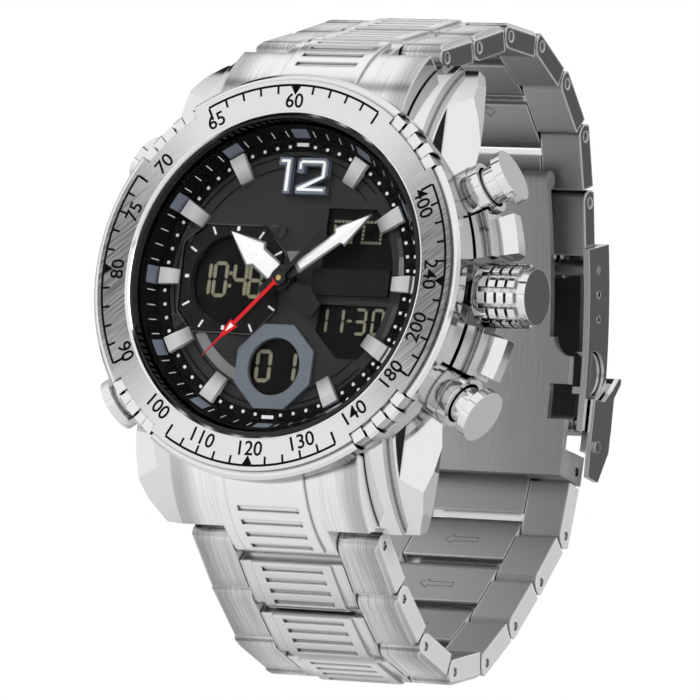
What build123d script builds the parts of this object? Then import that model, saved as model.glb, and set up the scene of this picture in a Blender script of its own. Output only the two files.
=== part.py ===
from build123d import *
import os
from math import asin, cos, hypot, radians, sin, sqrt

# Every length is in millimetres. The pieces are drawn with X to 3 o'clock, Y to 12 o'clock and Z out of the
# dial, with zero at the outer face of the case back, and are turned upright when they are written.

# The case and its bezel
body_radius = 21.6
flange_overhang = 1.0
flange_radius = body_radius + flange_overhang
bore_radius = 16.8
dial_seat_radius = 17.3
back_proud = 0.7
flange_bottom = 9.8
case_top = 12.2
ring_overhang = 0.6
ring_radius = flange_radius + ring_overhang
ring_shelf = 14.5
ring_groove = 0.35
plate_top = 15.0
plate_wide_margin = 0.9
plate_wide_radius = ring_radius - plate_wide_margin
plate_narrow_margin = 1.7
plate_narrow_radius = ring_radius - plate_narrow_margin
plate_inner_radius = 18.8
plate_arc_half_angle = 35
glass_radius = 17.9
glass_thickness = 1.6
glass_proud = 0.1
gasket_width = 0.4
ledge_width = 0.4
notch_margin = 1.2
notch_radius = ring_radius - notch_margin
notch_width = 1.9
notch_depth = 1.6
notch_spacing = 8
block_length = 1.5
block_width = 0.8
block_rise = 0.25

# Lugs and end links
lug_width = 24.0
lug_clearance = 0.15
lug_step_width = 2.4
lug_outer_width = 1.0
lug_root = 12.0
lug_tip_reach = 5.0
lug_tip_y = body_radius + lug_tip_reach
lug_tip_z = 2.6
lug_top_y = 13.0
lug_top_z = 11.1
lug_middle_inset = 0.4
lug_middle_y = body_radius - lug_middle_inset
lug_middle_z = 7.9
lug_step_rise = 1.1
lug_facet_reach = body_radius
lug_facet_drop = 2.1
lug_flare_shares = (
    (0.9815, 0.4511), (0.9213, 0.594), (0.8843, 0.7519), (0.8148, 0.9211), (0.75, 1.0))
lug_undercut_shares = (0.9144, 0.594, 0.5574)
lug_undercut_normal = (37.5, -5.2, -34.0)
end_link_top_z = 11.9
end_link_middle_reach = 2.8
end_link_middle_y = body_radius + end_link_middle_reach
end_link_middle_z = 9.4
end_link_end_reach = 5.8
end_link_end_y = body_radius + end_link_end_reach
end_link_end_z = 6.7
end_link_heel_reach = 3.8
end_link_heel_y = body_radius + end_link_heel_reach
end_link_bottom = 1.4
spring_bar_radius = 0.75
spring_bar_tip_radius = 0.45
spring_bar_tip = 1.3
spring_bar_reach = 2.4
spring_bar_y = body_radius + spring_bar_reach
spring_bar_z = 3.6
nose_angle = 35
end_slot_first_share = 0.7
end_slot_last_share = 0.96

# Guards and controls beside the case
control_height = 7.5
guard_overhang = 5.4
guard_reach = body_radius + guard_overhang
guard_bottom = 4.4
guard_edge = 1.2
guard_top = 8.1
guard_slope = 0.8
guard_first_angle = 10.5
guard_last_angle = 20.5
shoulder_overhang = 3.3
shoulder_reach = body_radius + shoulder_overhang
shoulder_top = 9.4
shoulder_first_angle = 9.5
shoulder_last_angle = 22.0
crown_radius = 3.65
crown_face_radius = 3.15
crown_gap = 1.7
crown_start = body_radius + crown_gap
crown_flute_length = 5.1
crown_flute_end = crown_start + crown_flute_length
crown_tip_length = 1.2
crown_end = crown_flute_end + crown_tip_length
crown_flutes = 12
crown_flute_depth = 0.45
crown_flute_width = 0.6
crown_ring_width = 0.35
crown_rings = 3
crown_pull = 1.2
crown_pocket = 3.6
tube_radius = 1.6
tube_bore = 1.05
stem_radius = 0.95
stem_inner_end = 14.3
pusher_angle = 29
left_pusher_angle = 33
left_pusher_inset = 2.0
housing_radius = 3.15
housing_depth = 1.0
housing_start = body_radius - housing_depth
housing_reach = 2.4
housing_step = body_radius + housing_reach
housing_rim = 1.3
housing_end = housing_step + housing_rim
housing_band = 0.12
pusher_cap_radius = 3.05
pusher_neck_radius = 2.2
pusher_cap_gap = 1.9
pusher_cap_start = housing_end + pusher_cap_gap
pusher_cap_length = 1.1
pusher_end = pusher_cap_start + pusher_cap_length
pusher_travel = 0.8
pusher_stem_radius = 0.7
pusher_stem_bore = 0.75
pusher_stem_start = 17.2
pusher_pocket_radius = 2.45
pusher_pocket_wall = 1.0
pusher_pocket_floor = housing_step - pusher_pocket_wall
pusher_neck_seat = 0.9
spring_outer_radius = 1.6
spring_inner_radius = 1.2

# Dial side
dial_top = 11.3
dial_thickness = 0.4
dial_radius = 17.2
chapter_bottom_radius = 16.3
chapter_top_drop = 0.25
overlay_thickness = 0.25
minute_track_radius = 16.2
minute_track_inner = 14.9
marker_height = 0.6
marker_rim_gap = 0.2
marker_length = 3.2
marker_side_length = 2.4
marker_outer_radius = minute_track_radius - marker_rim_gap
marker_inner_radius = marker_outer_radius - marker_length
marker_side_radius = marker_outer_radius - marker_side_length
marker_outer_width = 1.9
marker_inner_width = 1.6
marker_slope_share = 0.5
time_window_x = -7.0
time_window_radius = 5.1
time_plate_radius = 6.2
time_plate_flat = 3.7
mode_window_y = -9.85
mode_window_radius = 3.3
mode_ring_radius = 4.8
mode_ring_flat = 1.9
mode_ring_height = 0.45
upper_window = ((4.2, 1.5), (14.3, 1.5), (14.1, 4.1), (11.7, 8.5), (4.2, 8.5))
lower_window = ((4.5, -2.5), (4.5, -5.6), (7.5, -8.6), (12.1, -8.6), (14.0, -5.9), (14.4, -2.5))
window_limit = 13.4
bar_left = 3.4
bar_right = 13.2
bar_half_width = 1.5
dial_screw_radius = 0.75
dial_screw_rise = 0.25
dial_screw_places = ((-13.1, 4.9), (-1.5, 5.6), (-13.1, -4.9))
centre_hole_radius = 1.3
numeral_bottom = 9.9
numeral_top = 14.0
numeral_left = -2.4
numeral_gap = 0.7
numeral_stroke = 0.85
numeral_width = 3.9

# Movement
holder_radius = 16.5
holder_wall = 2.8
holder_bottom = 2.7
cell_thickness = 0.9
cell_radius = 15.6
board_thickness = 0.7
board_radius = 13.6
main_plate_bottom = 4.4
main_plate_top = 7.0
battery_radius = 4.75
battery_height = 2.6
battery_x = -5.6
battery_y = -5.2
battery_bottom = 2.6
coil_length = 8.0
coil_radius = 1.2
coil_x = 6.2
coil_y = 6.0
coil_angle = -45
wheel_thickness = 0.25
train_pinion_radius = 0.8
hour_pipe_radius = 0.95
hour_pipe_bore = 0.64
minute_pinion_radius = 1.0
train_wheel_radius = 3.0
train_angle = 160
mesh_gap = 0.1
minute_pipe_radius = 0.58
minute_pipe_bore = 0.32
seconds_wheel_radius = 2.6
seconds_arbor_radius = 0.26
train_arbor_radius = 0.3
seconds_wheel_z = 7.15
minute_wheel_z = 7.6
hour_wheel_z = 8.05

# Hands, with their angles clockwise from 12 o'clock
hand_thickness = 0.2
hour_hand_z = 12.2
minute_hand_z = 12.6
second_hand_z = 13.0
hour_hand_length = 9.1
hour_barb_along = 4.6
hour_barb_half = 1.8
hour_neck_along = 4.2
hour_neck_half = 1.25
hour_tail_half = 0.7
hour_fin_along = 3.6
hour_fin_half = 1.6
hour_fin_end = 5.9
hour_fin_end_half = 0.9
minute_hand_length = 13.0
minute_barb_along = 8.4
minute_barb_half = 1.3
minute_neck_half = 0.75
minute_tail = 3.0
second_hand_length = 12.6
second_hand_half = 0.2
second_tip_half = 0.1
second_arrow_along = 7.3
second_arrow_half = 0.62
second_arrow_length = 2.4
second_tail = 7.4
second_tail_half = 0.6
hand_hub_radius = 1.5
minute_hub_radius = 1.3
second_hub_radius = 0.85
hour_hand_angle = 306
minute_hand_angle = 54
second_hand_angle = 223

# The back and its screws
back_radius = 20.0
back_plate = 1.5
back_spigot_radius = 16.4
back_spigot = 0.7
back_gasket_outer = 17.7
back_gasket_inner = 17.0
back_gasket_height = 0.6
back_screw_circle_radius = 18.8
back_screw_head_radius = 0.9
back_screw_head = 0.5
back_screw_slot = 0.2
back_screw_radius = 0.5
back_screw_length = 3.2
back_screw_angle = 45

# Bracelet
link_pitch = 7.9
link_thickness = 3.0
link_gap = 0.3
centre_half_width = 6.8
side_gap = 0.15
strip_half_width = 5.1
strip_rise = 0.3
slot_half_length = 3.9
slot_width = 0.7
slot_depth = 0.3
slots = 4
outer_edge = 0.5
pin_radius = 0.5
pin_clearance = 0.05
pin_recess = 0.3
shoulder_length = 2.6
shoulder_height = 1.6
lug_pin_reach = 6.4
lug_pin_y = body_radius + lug_pin_reach
lug_pin_z = 2.7
upper_headings = (22, 23, 5, -20, -38, -66, -72)
lower_headings = (39, 33, 12, -17, -42, -50, -53, -82)

# Clasp, drawn along its bow from the first adjustment hole towards 6 o'clock
bow_radius = 70.0
wall_thickness = 0.8
wall_inner = lug_width / 2 + side_gap
wall_low = 2.3
wall_high = 2.8
cover_start = 2.7
hole_pitch = 2.9
hole_radius = 0.5
adjust_holes = 3
button_middle = 12.2
button_half_length = 2.5
button_low = 1.2
button_high = 1.9
button_reach = 1.9
button_recess = 0.45
button_clearance = 0.12
blade_thickness = 1.0
middle_blade_low = 2.95
inner_blade_low = 4.25
end_block_inset = 0.2
end_block_half_width = lug_width / 2 - end_block_inset
blade_inset = 0.2
wide_half_width = end_block_half_width - blade_inset
blade_narrowing = 2.8
inner_half_width = wide_half_width - blade_narrowing
blade_step = 1.2
middle_half_width = inner_half_width - blade_step
blade_widening = 8.0
blade_flare = 2.2
blade_notch_start = 13.8
blade_notch_end = 18.2
blade_notch_depth = 2.4
blade_notch_half_width = wide_half_width - blade_notch_depth
barrel_position = 11.3
barrel_radius = 1.15
barrel_pin_radius = 0.5
knuckle_half_width = 5.4
knuckle_gap = 0.15
cover_hinge_back = 5.6
cover_hinge_low = 1.5
cover_knuckle_radius = 0.9
end_block_start = 2.0
end_block_end = 1.4
end_block_high = 1.4
flap_wall = 0.6
flap_gap = 0.2
flap_low = 1.2
flap_start = 8.6
flap_lip = 2.9
flap_lip_rise = 1.5
flap_roof_clearance = 0.25
flap_roof_back = 2.0
rivet_back = 3.1
rivet_high = 0.2
rivet_radius = 0.7
rivet_head = 0.25

# Overrun of every cut
over = 1.0
CENTRE_MIN = (Align.CENTER, Align.CENTER, Align.MIN)


def disc(radius, bottom, top, x=0, y=0):
    return Pos(x, y, bottom) * Cylinder(radius, top - bottom, align=CENTRE_MIN)


def ring(outer, inner, bottom, top):
    return disc(outer, bottom, top) - disc(inner, bottom - over, top + over)


def slab(points, bottom, top):
    """A plate with a straight-sided outline, between two heights."""
    face = Plane.XY.offset(bottom) * make_face(Polyline(*points, close=True))
    return extrude(face, top - bottom)


def block(x0, x1, y0, y1, z0, z1):
    return Pos((x0 + x1) / 2, (y0 + y1) / 2, (z0 + z1) / 2) * Box(x1 - x0, y1 - y0, z1 - z0)


def across(outline, x0, x1):
    """A side profile in Y and Z, carried across from one X to another."""
    return extrude(Plane.YZ.offset(x0) * make_face(outline), x1 - x0)


def turned(points):
    """A turned body, from (radius, height) points."""
    return revolve(Plane.XZ * make_face(Polyline(*points, close=True)), Axis.Z)


def rod(radius, half_length, y=0, z=0):
    """A round pin that lies along X."""
    return Pos(0, y, z) * Rot(0, 90, 0) * Cylinder(radius, 2 * half_length)


def radial(radius, start, end, angle):
    """A round bar at the height of the controls, between two distances from the centre."""
    bar = Pos(start, 0, 0) * Rot(0, 90, 0) * Cylinder(radius, end - start, align=CENTRE_MIN)
    return Pos(0, 0, control_height) * Rot(0, 0, angle) * bar


def polar(radius, angle):
    return (radius * cos(radians(angle)), radius * sin(radians(angle)))


# The case


def lug_profile(rise):
    """Side outline of a lug; rise lifts the stepped inner band above the outer one."""
    top = (lug_top_y, lug_top_z + rise)
    middle = (lug_middle_y + rise / 2, lug_middle_z + rise)
    tip = (lug_tip_y + rise / 4, lug_tip_z + rise)
    toe = (lug_tip_y - lug_tip_z / 2, back_proud)
    heel = (lug_root, back_proud)
    upper = ThreePointArc(top, middle, tip)
    return upper + Polyline(tip, toe, heel, (lug_root, lug_top_z + rise), top)


def lug_pair(side):
    """Two stepped lugs at one end of the case."""
    inner = lug_width / 2 + lug_clearance
    step = inner + lug_step_width
    outer = step + lug_outer_width
    band = across(make_face(lug_profile(lug_step_rise)), inner, step)
    flank = across(make_face(lug_profile(0)), inner, lug_facet_reach + over)
    facet = Polyline(
        (outer, 2 * case_top), (outer, lug_middle_z), (lug_facet_reach, lug_middle_z - lug_facet_drop),
        (lug_facet_reach, 0), (0, 0), (0, 2 * case_top), close=True)
    flank &= extrude(Plane.XZ * make_face(facet), -2 * lug_tip_y)
    flare = [(x * body_radius, y * lug_tip_y) for x, y in lug_flare_shares]
    flank &= slab([(inner, flare[0][1])] + flare + [(inner, lug_tip_y)], 0, 2 * case_top)
    x, y, z = lug_undercut_shares
    point = (x * body_radius, y * lug_tip_y, z * case_top)
    below = Plane(origin=point, z_dir=lug_undercut_normal).location
    flank -= below * Box(4 * lug_width, 4 * lug_width, lug_width, align=CENTRE_MIN)
    lug = band + flank
    pair = lug + mirror(lug, Plane.YZ)
    return pair if side > 0 else mirror(pair, Plane.XZ)


def sector(points, first_angle, last_angle):
    """A turned body between two angles, from (radius, height) points."""
    face = Rot(0, 0, first_angle) * (Plane.XZ * make_face(Polyline(*points, close=True)))
    return revolve(face, Axis.Z, last_angle - first_angle)


def crown_guard():
    """Stepped guard beside the crown: a shoulder against the case and a lower tooth outside it."""
    root = body_radius - over
    shoulder = [(root, guard_bottom), (shoulder_reach, guard_bottom), (shoulder_reach, shoulder_top),
                (root, shoulder_top)]
    tooth = [
        (root, guard_bottom),
        (guard_reach - guard_edge, guard_bottom),
        (guard_reach, guard_bottom + guard_edge),
        (guard_reach, guard_top - guard_slope),
        (root, guard_top),
    ]
    guard = sector(shoulder, shoulder_first_angle, shoulder_last_angle)
    return guard + sector(tooth, guard_first_angle, guard_last_angle)


def case_middle():
    body = ring(body_radius, bore_radius, back_proud, case_top)
    body += ring(flange_radius, bore_radius, flange_bottom, case_top)
    clear = disc(bore_radius, 0, 2 * case_top)
    for side in (1, -1):
        body += lug_pair(side) - clear
    guard = crown_guard()
    body += guard
    body += mirror(guard, Plane.XZ)
    body -= disc(dial_seat_radius, dial_top - dial_thickness, case_top + over)
    body -= disc(back_radius + pin_clearance, 0, back_plate)
    gasket_seat = ring(back_gasket_outer, back_gasket_inner, back_plate, back_plate + back_gasket_height)
    body -= gasket_seat
    for angle, inset in pusher_places():
        body -= radial(housing_radius, housing_start - inset, guard_reach, angle)
        body -= radial(pusher_stem_bore, bore_radius - over, flange_radius, angle)
    body -= radial(tube_radius, bore_radius - over, flange_radius + over, 0)
    for x, y in back_screw_places():
        body -= disc(back_screw_radius, back_plate - over, back_screw_length + pin_clearance, x, y)
    tip_reach = lug_width / 2 + lug_clearance + spring_bar_tip + pin_clearance
    for side in (1, -1):
        body -= rod(spring_bar_tip_radius + pin_clearance, tip_reach, side * spring_bar_y, spring_bar_z)
    return body


def pusher_places():
    """Angle and inset of each push-piece; the two at the left are set deeper."""
    right = [(pusher_angle, 0), (-pusher_angle, 0)]
    return right + [(180 + turn * left_pusher_angle, left_pusher_inset) for turn in (1, -1)]


def back_screw_places():
    return [polar(back_screw_circle_radius, back_screw_angle + 90 * n) for n in range(4)]


def notch_angles():
    """Three notches at each diagonal of the bezel."""
    return [45 + 90 * quarter + notch_spacing * n for quarter in range(4) for n in (-1, 0, 1)]


def bezel_ring():
    """Polished ring with a castellated edge and a bevelled mouth that holds the glass."""
    seat = plate_top + glass_proud - glass_thickness
    glass_hole = glass_radius + gasket_width
    groove = ring_radius - ring_groove
    outline = [
        (glass_radius - ledge_width, case_top),
        (groove, case_top),
        (groove, case_top + ring_groove),
        (ring_radius, case_top + ring_groove),
        (ring_radius, ring_shelf - ring_groove),
        (groove, ring_shelf),
        (plate_inner_radius, ring_shelf),
        (plate_inner_radius, plate_top),
        (glass_hole + ring_groove, plate_top),
        (glass_hole, plate_top - ring_groove),
        (glass_hole, seat),
        (glass_radius - ledge_width, seat),
    ]
    body = turned(outline)
    for angle in notch_angles():
        cut = block(notch_radius, ring_radius + over, -notch_width / 2, notch_width / 2,
                    ring_shelf - notch_depth, ring_shelf + over)
        body -= Rot(0, 0, angle) * cut
        lump = block(notch_radius - block_width, notch_radius + block_width, -block_length / 2,
                     block_length / 2, ring_shelf - notch_depth, ring_shelf + block_rise)
        body += Rot(0, 0, angle) * lump
    return body


def bezel_plate():
    """Brushed plate that steps outwards along its four scale arcs."""
    plate = ring(plate_narrow_radius, plate_inner_radius, ring_shelf, plate_top)
    wide = ring(plate_wide_radius, plate_inner_radius, ring_shelf, plate_top)
    for quarter in range(4):
        start = polar(2 * plate_wide_radius, 90 * quarter - plate_arc_half_angle)
        end = polar(2 * plate_wide_radius, 90 * quarter + plate_arc_half_angle)
        middle = polar(4 * plate_wide_radius, 90 * quarter)
        quadrant = slab([(0, 0), start, middle, end], ring_shelf, plate_top)
        plate += wide & quadrant
    for angle in notch_angles():
        lump = block(notch_radius - block_width, notch_radius + block_width, -block_length / 2,
                     block_length / 2, ring_shelf, ring_shelf + block_rise)
        plate -= Rot(0, 0, angle) * lump
    return plate


def glass():
    bottom = plate_top + glass_proud - glass_thickness
    return disc(glass_radius, bottom, plate_top + glass_proud)


def glass_gasket():
    bottom = plate_top + glass_proud - glass_thickness
    return ring(glass_radius + gasket_width, glass_radius, bottom, plate_top - ring_groove)


def chapter_ring():
    """Sloped ring between the glass and the dial."""
    top = plate_top + glass_proud - glass_thickness - chapter_top_drop
    return turned([
        (chapter_bottom_radius, dial_top),
        (dial_radius, dial_top),
        (dial_radius, case_top),
        (glass_radius - ledge_width, case_top),
        (glass_radius - ledge_width, top),
        (glass_radius - ledge_width - ring_groove, top),
        (chapter_bottom_radius, dial_top + overlay_thickness),
    ])


def case_back():
    plate = disc(back_radius, 0, back_plate)
    plate = chamfer(plate.edges().group_by(Axis.Z)[0], back_proud / 2)
    plate += disc(back_spigot_radius, back_plate, back_plate + back_spigot)
    for x, y in back_screw_places():
        plate -= disc(back_screw_head_radius + pin_clearance, -over, back_screw_head, x, y)
        plate -= disc(back_screw_radius + pin_clearance, -over, back_plate + over, x, y)
    return plate


def back_gasket():
    return ring(back_gasket_outer, back_gasket_inner, back_plate, back_plate + back_gasket_height)


def back_screws():
    screws = []
    for x, y in back_screw_places():
        head = disc(back_screw_head_radius, 0, back_screw_head, x, y)
        slot = block(x - back_screw_head_radius, x + back_screw_head_radius, y - back_screw_slot / 2,
                     y + back_screw_slot / 2, -over, back_screw_head / 2)
        screws.append(head + disc(back_screw_radius, 0, back_screw_length, x, y) - slot)
    return screws


def slot_cuts(path, first_share, last_share):
    """Cross grooves on a strip that follows a path in the Y-Z plane."""
    cuts = []
    for number in range(slots):
        share = first_share + (last_share - first_share) * number / (slots - 1)
        along = path % share
        outward = Vector(0, -along.Z, along.Y)
        place = Plane(origin=path @ share, x_dir=(1, 0, 0), z_dir=outward).location
        cuts.append(place * Box(2 * slot_half_length, slot_width, 2 * slot_depth))
    return cuts


def end_link():
    """Block between two lugs, with a nose that carries the first bracelet pin."""
    half = lug_width / 2
    nose_half = centre_half_width - side_gap
    pin = (lug_pin_y, lug_pin_z)
    reach = link_thickness / 2
    start = (flange_radius / 2, end_link_top_z)
    tip = (lug_pin_y + reach * cos(radians(nose_angle)), lug_pin_z + reach * sin(radians(nose_angle)))
    under = (lug_pin_y, lug_pin_z - reach)
    heel = (end_link_heel_y, end_link_bottom)
    root = (flange_radius / 2, end_link_bottom)
    top = ThreePointArc(start, (end_link_middle_y, end_link_middle_z), tip)
    profile = make_face(top + Polyline(tip, under, heel, root, start))
    nose = across(profile, -nose_half, nose_half) + rod(reach, nose_half, *pin)
    rise = strip_rise * cos(radians(nose_angle))
    strip_top = [(y + rise, z + rise) for y, z in (start, (end_link_middle_y, end_link_middle_z), tip)]
    strip_arc = ThreePointArc(*strip_top)
    strip_line = Polyline(strip_top[-1], pin, root, strip_top[0])
    nose += across(make_face(strip_arc + strip_line), -strip_half_width, strip_half_width)
    sides = across(profile, -half, half)
    slant = Polyline(
        (end_link_end_y, end_link_end_z),
        (end_link_heel_y + link_gap, lug_pin_z + reach),
        (end_link_heel_y + link_gap, -over),
        (2 * lug_pin_y, -over),
        (2 * lug_pin_y, end_link_top_z),
        (end_link_end_y + end_link_top_z - end_link_end_z, end_link_top_z),
        close=True,
    )
    sides -= across(make_face(slant), -half - over, half + over)
    sides -= rod(reach + link_gap, half + over, *pin)
    body = nose + sides
    body -= disc(flange_radius + lug_clearance, -over, 2 * case_top)
    body -= rod(pin_radius + pin_clearance, nose_half + over, *pin)
    body -= rod(spring_bar_radius + pin_clearance, half + over, spring_bar_y, spring_bar_z)
    path = Plane.YZ * strip_arc
    for cut in slot_cuts(path, end_slot_first_share, end_slot_last_share):
        body -= cut
    return body


def spring_bar(tube_half, tip_half):
    """A lug spring bar: a tube with a shouldered tip at each end."""
    return rod(spring_bar_radius, tube_half) + rod(spring_bar_tip_radius, tip_half)


def lug_spring_bars():
    half = lug_width / 2
    bar = spring_bar(half - side_gap, half + lug_clearance + spring_bar_tip)
    return [Pos(0, side * spring_bar_y, spring_bar_z) * bar for side in (1, -1)]


# Bracelet


def link_centre(far_bore):
    """Centre piece of a link: it starts past one pin and wraps the next."""
    half = centre_half_width - side_gap
    reach = link_thickness / 2
    near = reach + strip_rise + link_gap
    base = Polyline((link_pitch, reach), (near, reach), (near, -reach), (link_pitch, -reach))
    round_end = ThreePointArc((link_pitch, -reach), (link_pitch + reach, 0), (link_pitch, reach))
    body = across(make_face(base + round_end), -half, half)
    high = reach + strip_rise
    side = Polyline((link_pitch, high), (near, high), (near, 0), (link_pitch + high, 0))
    slant = high / sqrt(2)
    bend = ThreePointArc((link_pitch + high, 0), (link_pitch + slant, slant), (link_pitch, high))
    body += across(make_face(side + bend), -strip_half_width, strip_half_width)
    middle = (near + link_pitch - reach - link_gap) / 2
    body += block(
        -centre_half_width, centre_half_width,
        middle - shoulder_length / 2, middle + shoulder_length / 2,
        -shoulder_height / 2, shoulder_height / 2,
    )
    body -= rod(far_bore, half + over, link_pitch, 0)
    step = (link_pitch + reach / 2 - near) / slots
    for number in range(slots):
        place = Pos(0, near + step * (number + 1) - step / 2, high)
        body -= place * Box(2 * slot_half_length, slot_width, 2 * slot_depth)
    return body


def link_outer():
    """Outer piece on the crown side: round about its own pin, flat at its other end."""
    half = lug_width / 2
    reach = link_thickness / 2
    far = link_pitch - reach - link_gap
    sides = Polyline((0, -reach), (far, -reach), (far, reach), (0, reach))
    nose = ThreePointArc((0, reach), (-reach, 0), (0, -reach))
    piece = across(make_face(sides + nose), centre_half_width, half)
    trim = Plane.XZ.offset(-2 * link_pitch) * make_face(Polyline(
        (half - outer_edge, reach + over),
        (half - outer_edge, reach),
        (half, reach - outer_edge),
        (half + over, reach - outer_edge),
        (half + over, reach + over),
        close=True,
    ))
    piece -= extrude(trim, 4 * link_pitch)
    return piece - rod(pin_radius + pin_clearance, half + over)


def link_pin(split):
    """Split pin of a link; the first upper one stops at each side of the nose."""
    end = lug_width / 2 - pin_recess
    pin = rod(pin_radius, end)
    if split:
        pin -= rod(link_pitch, centre_half_width)
    return pin


def link(far_bore, split=False):
    outer = link_outer()
    return [link_centre(far_bore), outer, mirror(outer, Plane.YZ)] + list(link_pin(split).solids())


def chain(side, headings):
    """Pin centres of one half of the bracelet, from the case on."""
    pins = [(side * lug_pin_y, lug_pin_z)]
    for heading in headings:
        y, z = pins[-1]
        step_y = side * link_pitch * sin(radians(heading))
        pins.append((y + step_y, z - link_pitch * cos(radians(heading))))
    return pins


def link_place(side, headings, number):
    """Where a link lies: its own Y runs along the bracelet and its own Z points away from the wrist."""
    y, z = chain(side, headings)[number]
    lean = radians(headings[number])
    outward = (0, side * cos(lean), sin(lean))
    return Plane(origin=(0, y, z), x_dir=(side, 0, 0), z_dir=outward).location


# Clasp


def clasp_ends():
    """The last pins of the two halves: the first adjustment hole and the end-piece pin."""
    return chain(1, upper_headings)[-1], chain(-1, lower_headings)[-1]


def clasp_span():
    (y0, z0), (y1, z1) = clasp_ends()
    return hypot(y1 - y0, z1 - z0)


def bow_length():
    """Length of the bow between the two last pins."""
    return 2 * bow_radius * asin(clasp_span() / 2 / bow_radius)


def bow(along, height):
    """A point at a distance along the clasp and a height out from its middle line."""
    half = clasp_span() / 2
    centre = -sqrt(bow_radius ** 2 - half ** 2)
    angle = along / bow_radius - asin(half / bow_radius)
    radius = bow_radius + height
    return (half + radius * sin(angle), centre + radius * cos(angle))


def clasp_place():
    (y0, z0), (y1, z1) = clasp_ends()
    span = clasp_span()
    outward = (0, -(z1 - z0) / span, (y1 - y0) / span)
    return Plane(origin=(0, y0, z0), x_dir=(1, 0, 0), z_dir=outward).location


def strap(start, end, low, high, x0, x1):
    """A curved strip of the clasp between two heights, from one X to another."""
    middle = (start + end) / 2
    outer = ThreePointArc(bow(start, high), bow(middle, high), bow(end, high))
    inner = ThreePointArc(bow(end, low), bow(middle, low), bow(start, low))
    ends = Polyline(bow(end, high), bow(end, low)) + Polyline(bow(start, low), bow(start, high))
    return across(make_face(outer + inner + ends), x0, x1)


def bow_rod(radius, half_length, along, height):
    y, z = bow(along, height)
    return rod(radius, half_length, y, z)


def cover_hinge():
    return (bow_length() - cover_hinge_back, -cover_hinge_low)


def barrel():
    return (-barrel_position, -(middle_blade_low + inner_blade_low) / 2 + blade_thickness / 2)


def button_profile(clearance):
    """The D shape of a push-button, or of its opening with a clearance."""
    start = button_middle - button_half_length - clearance
    end = button_middle + button_half_length + clearance
    low = -button_low - clearance
    corner = 0
    high = button_high + clearance
    arc = ThreePointArc(bow(start, corner), bow(button_middle, high), bow(end, corner))
    return make_face(arc + Polyline(bow(end, corner), bow(end, low), bow(start, low), bow(start, corner)))


def clasp_cover():
    """Channel with two side walls, the adjustment holes and an opening for each button."""
    outer = wall_inner + wall_thickness
    end = bow_length() - cover_hinge_back + cover_knuckle_radius
    body = strap(-cover_start, end, wall_high - wall_thickness, wall_high, -outer, outer)
    wall = strap(-cover_start, end, -wall_low, wall_high, wall_inner, outer)
    tail = strap(end, bow_length() - rivet_back + rivet_radius, -rivet_radius, wall_high - wall_thickness,
                 wall_inner, outer)
    wall += tail
    wall -= across(button_profile(button_clearance), wall_inner - over, outer + over)
    body += wall + mirror(wall, Plane.YZ)
    for number in range(adjust_holes):
        body -= bow_rod(hole_radius, outer + over, hole_pitch * number, 0)
    body -= bow_rod(barrel_pin_radius, outer + over, *cover_hinge())
    body -= bow_rod(rivet_radius / 2 + pin_clearance, outer + over, bow_length() - rivet_back, rivet_high)
    return body


def clasp_middle_blade():
    """Middle blade, with a knuckle at the barrel and one at the cover."""
    hinge_along, hinge_height = cover_hinge()
    start, height = barrel()
    blade = strap(start, hinge_along, -middle_blade_low, blade_thickness - middle_blade_low,
                  -middle_half_width, middle_half_width)
    blade -= bow_rod(barrel_radius + link_gap, middle_half_width + over, start, height)
    inner = knuckle_half_width - knuckle_gap
    blade += strap(start, start + 2 * barrel_radius, -middle_blade_low, blade_thickness - middle_blade_low,
                   -inner, inner)
    blade += bow_rod(barrel_radius, inner, start, height)
    blade += bow_rod(cover_knuckle_radius, wide_half_width, hinge_along, hinge_height)
    blade -= bow_rod(barrel_pin_radius + pin_clearance, inner + over, start, height)
    blade -= bow_rod(barrel_pin_radius + pin_clearance, wide_half_width + over, hinge_along, hinge_height)
    return blade


def clasp_inner_blade():
    """Blade against the wrist: barrel knuckles, a flare, side notches and the end piece."""
    start, height = barrel()
    end = bow_length()
    low = -inner_blade_low
    high = blade_thickness - inner_blade_low
    blade = strap(start, blade_widening + blade_flare, low, high, -inner_half_width, inner_half_width)
    blade += strap(blade_widening, end + end_block_end, low, high, -wide_half_width, wide_half_width)
    flare = disc(blade_flare, -2 * bow_radius, bow_radius, wide_half_width, bow(blade_widening, low)[0])
    blade -= flare + mirror(flare, Plane.YZ)
    blade -= bow_rod(barrel_radius + link_gap, inner_half_width + over, start, height)
    knuckle = across(Plane.XY * make_face(Polyline(
        bow(start, low), bow(start, height), bow(start + 2 * barrel_radius, high),
        bow(start + 2 * barrel_radius, low), close=True)), knuckle_half_width, inner_half_width)
    y, z = bow(start, height)
    knuckle += Pos((knuckle_half_width + inner_half_width) / 2, y, z) * Rot(0, 90, 0) * Cylinder(
        barrel_radius, inner_half_width - knuckle_half_width)
    blade += knuckle + mirror(knuckle, Plane.YZ)
    notch = strap(blade_notch_start, blade_notch_end, low - over, high + over,
                  blade_notch_half_width, wide_half_width + over)
    blade -= notch + mirror(notch, Plane.YZ)
    ear = strap(end - end_block_start, end + end_block_end, low, end_block_high,
                centre_half_width, end_block_half_width)
    blade += ear + mirror(ear, Plane.YZ)
    blade -= bow_rod(pin_radius + pin_clearance, wide_half_width + over, end, 0)
    blade -= bow_rod(barrel_pin_radius, inner_half_width + over, start, height)
    return blade


def barrel_pin():
    return bow_rod(barrel_pin_radius, inner_half_width, *barrel())


def cover_pin():
    return bow_rod(barrel_pin_radius, wall_inner + wall_thickness, *cover_hinge())


def end_pin():
    """Pin of the clasp's end piece, through the last lower link."""
    return bow_rod(pin_radius, end_block_half_width - pin_recess, bow_length(), 0)


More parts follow.
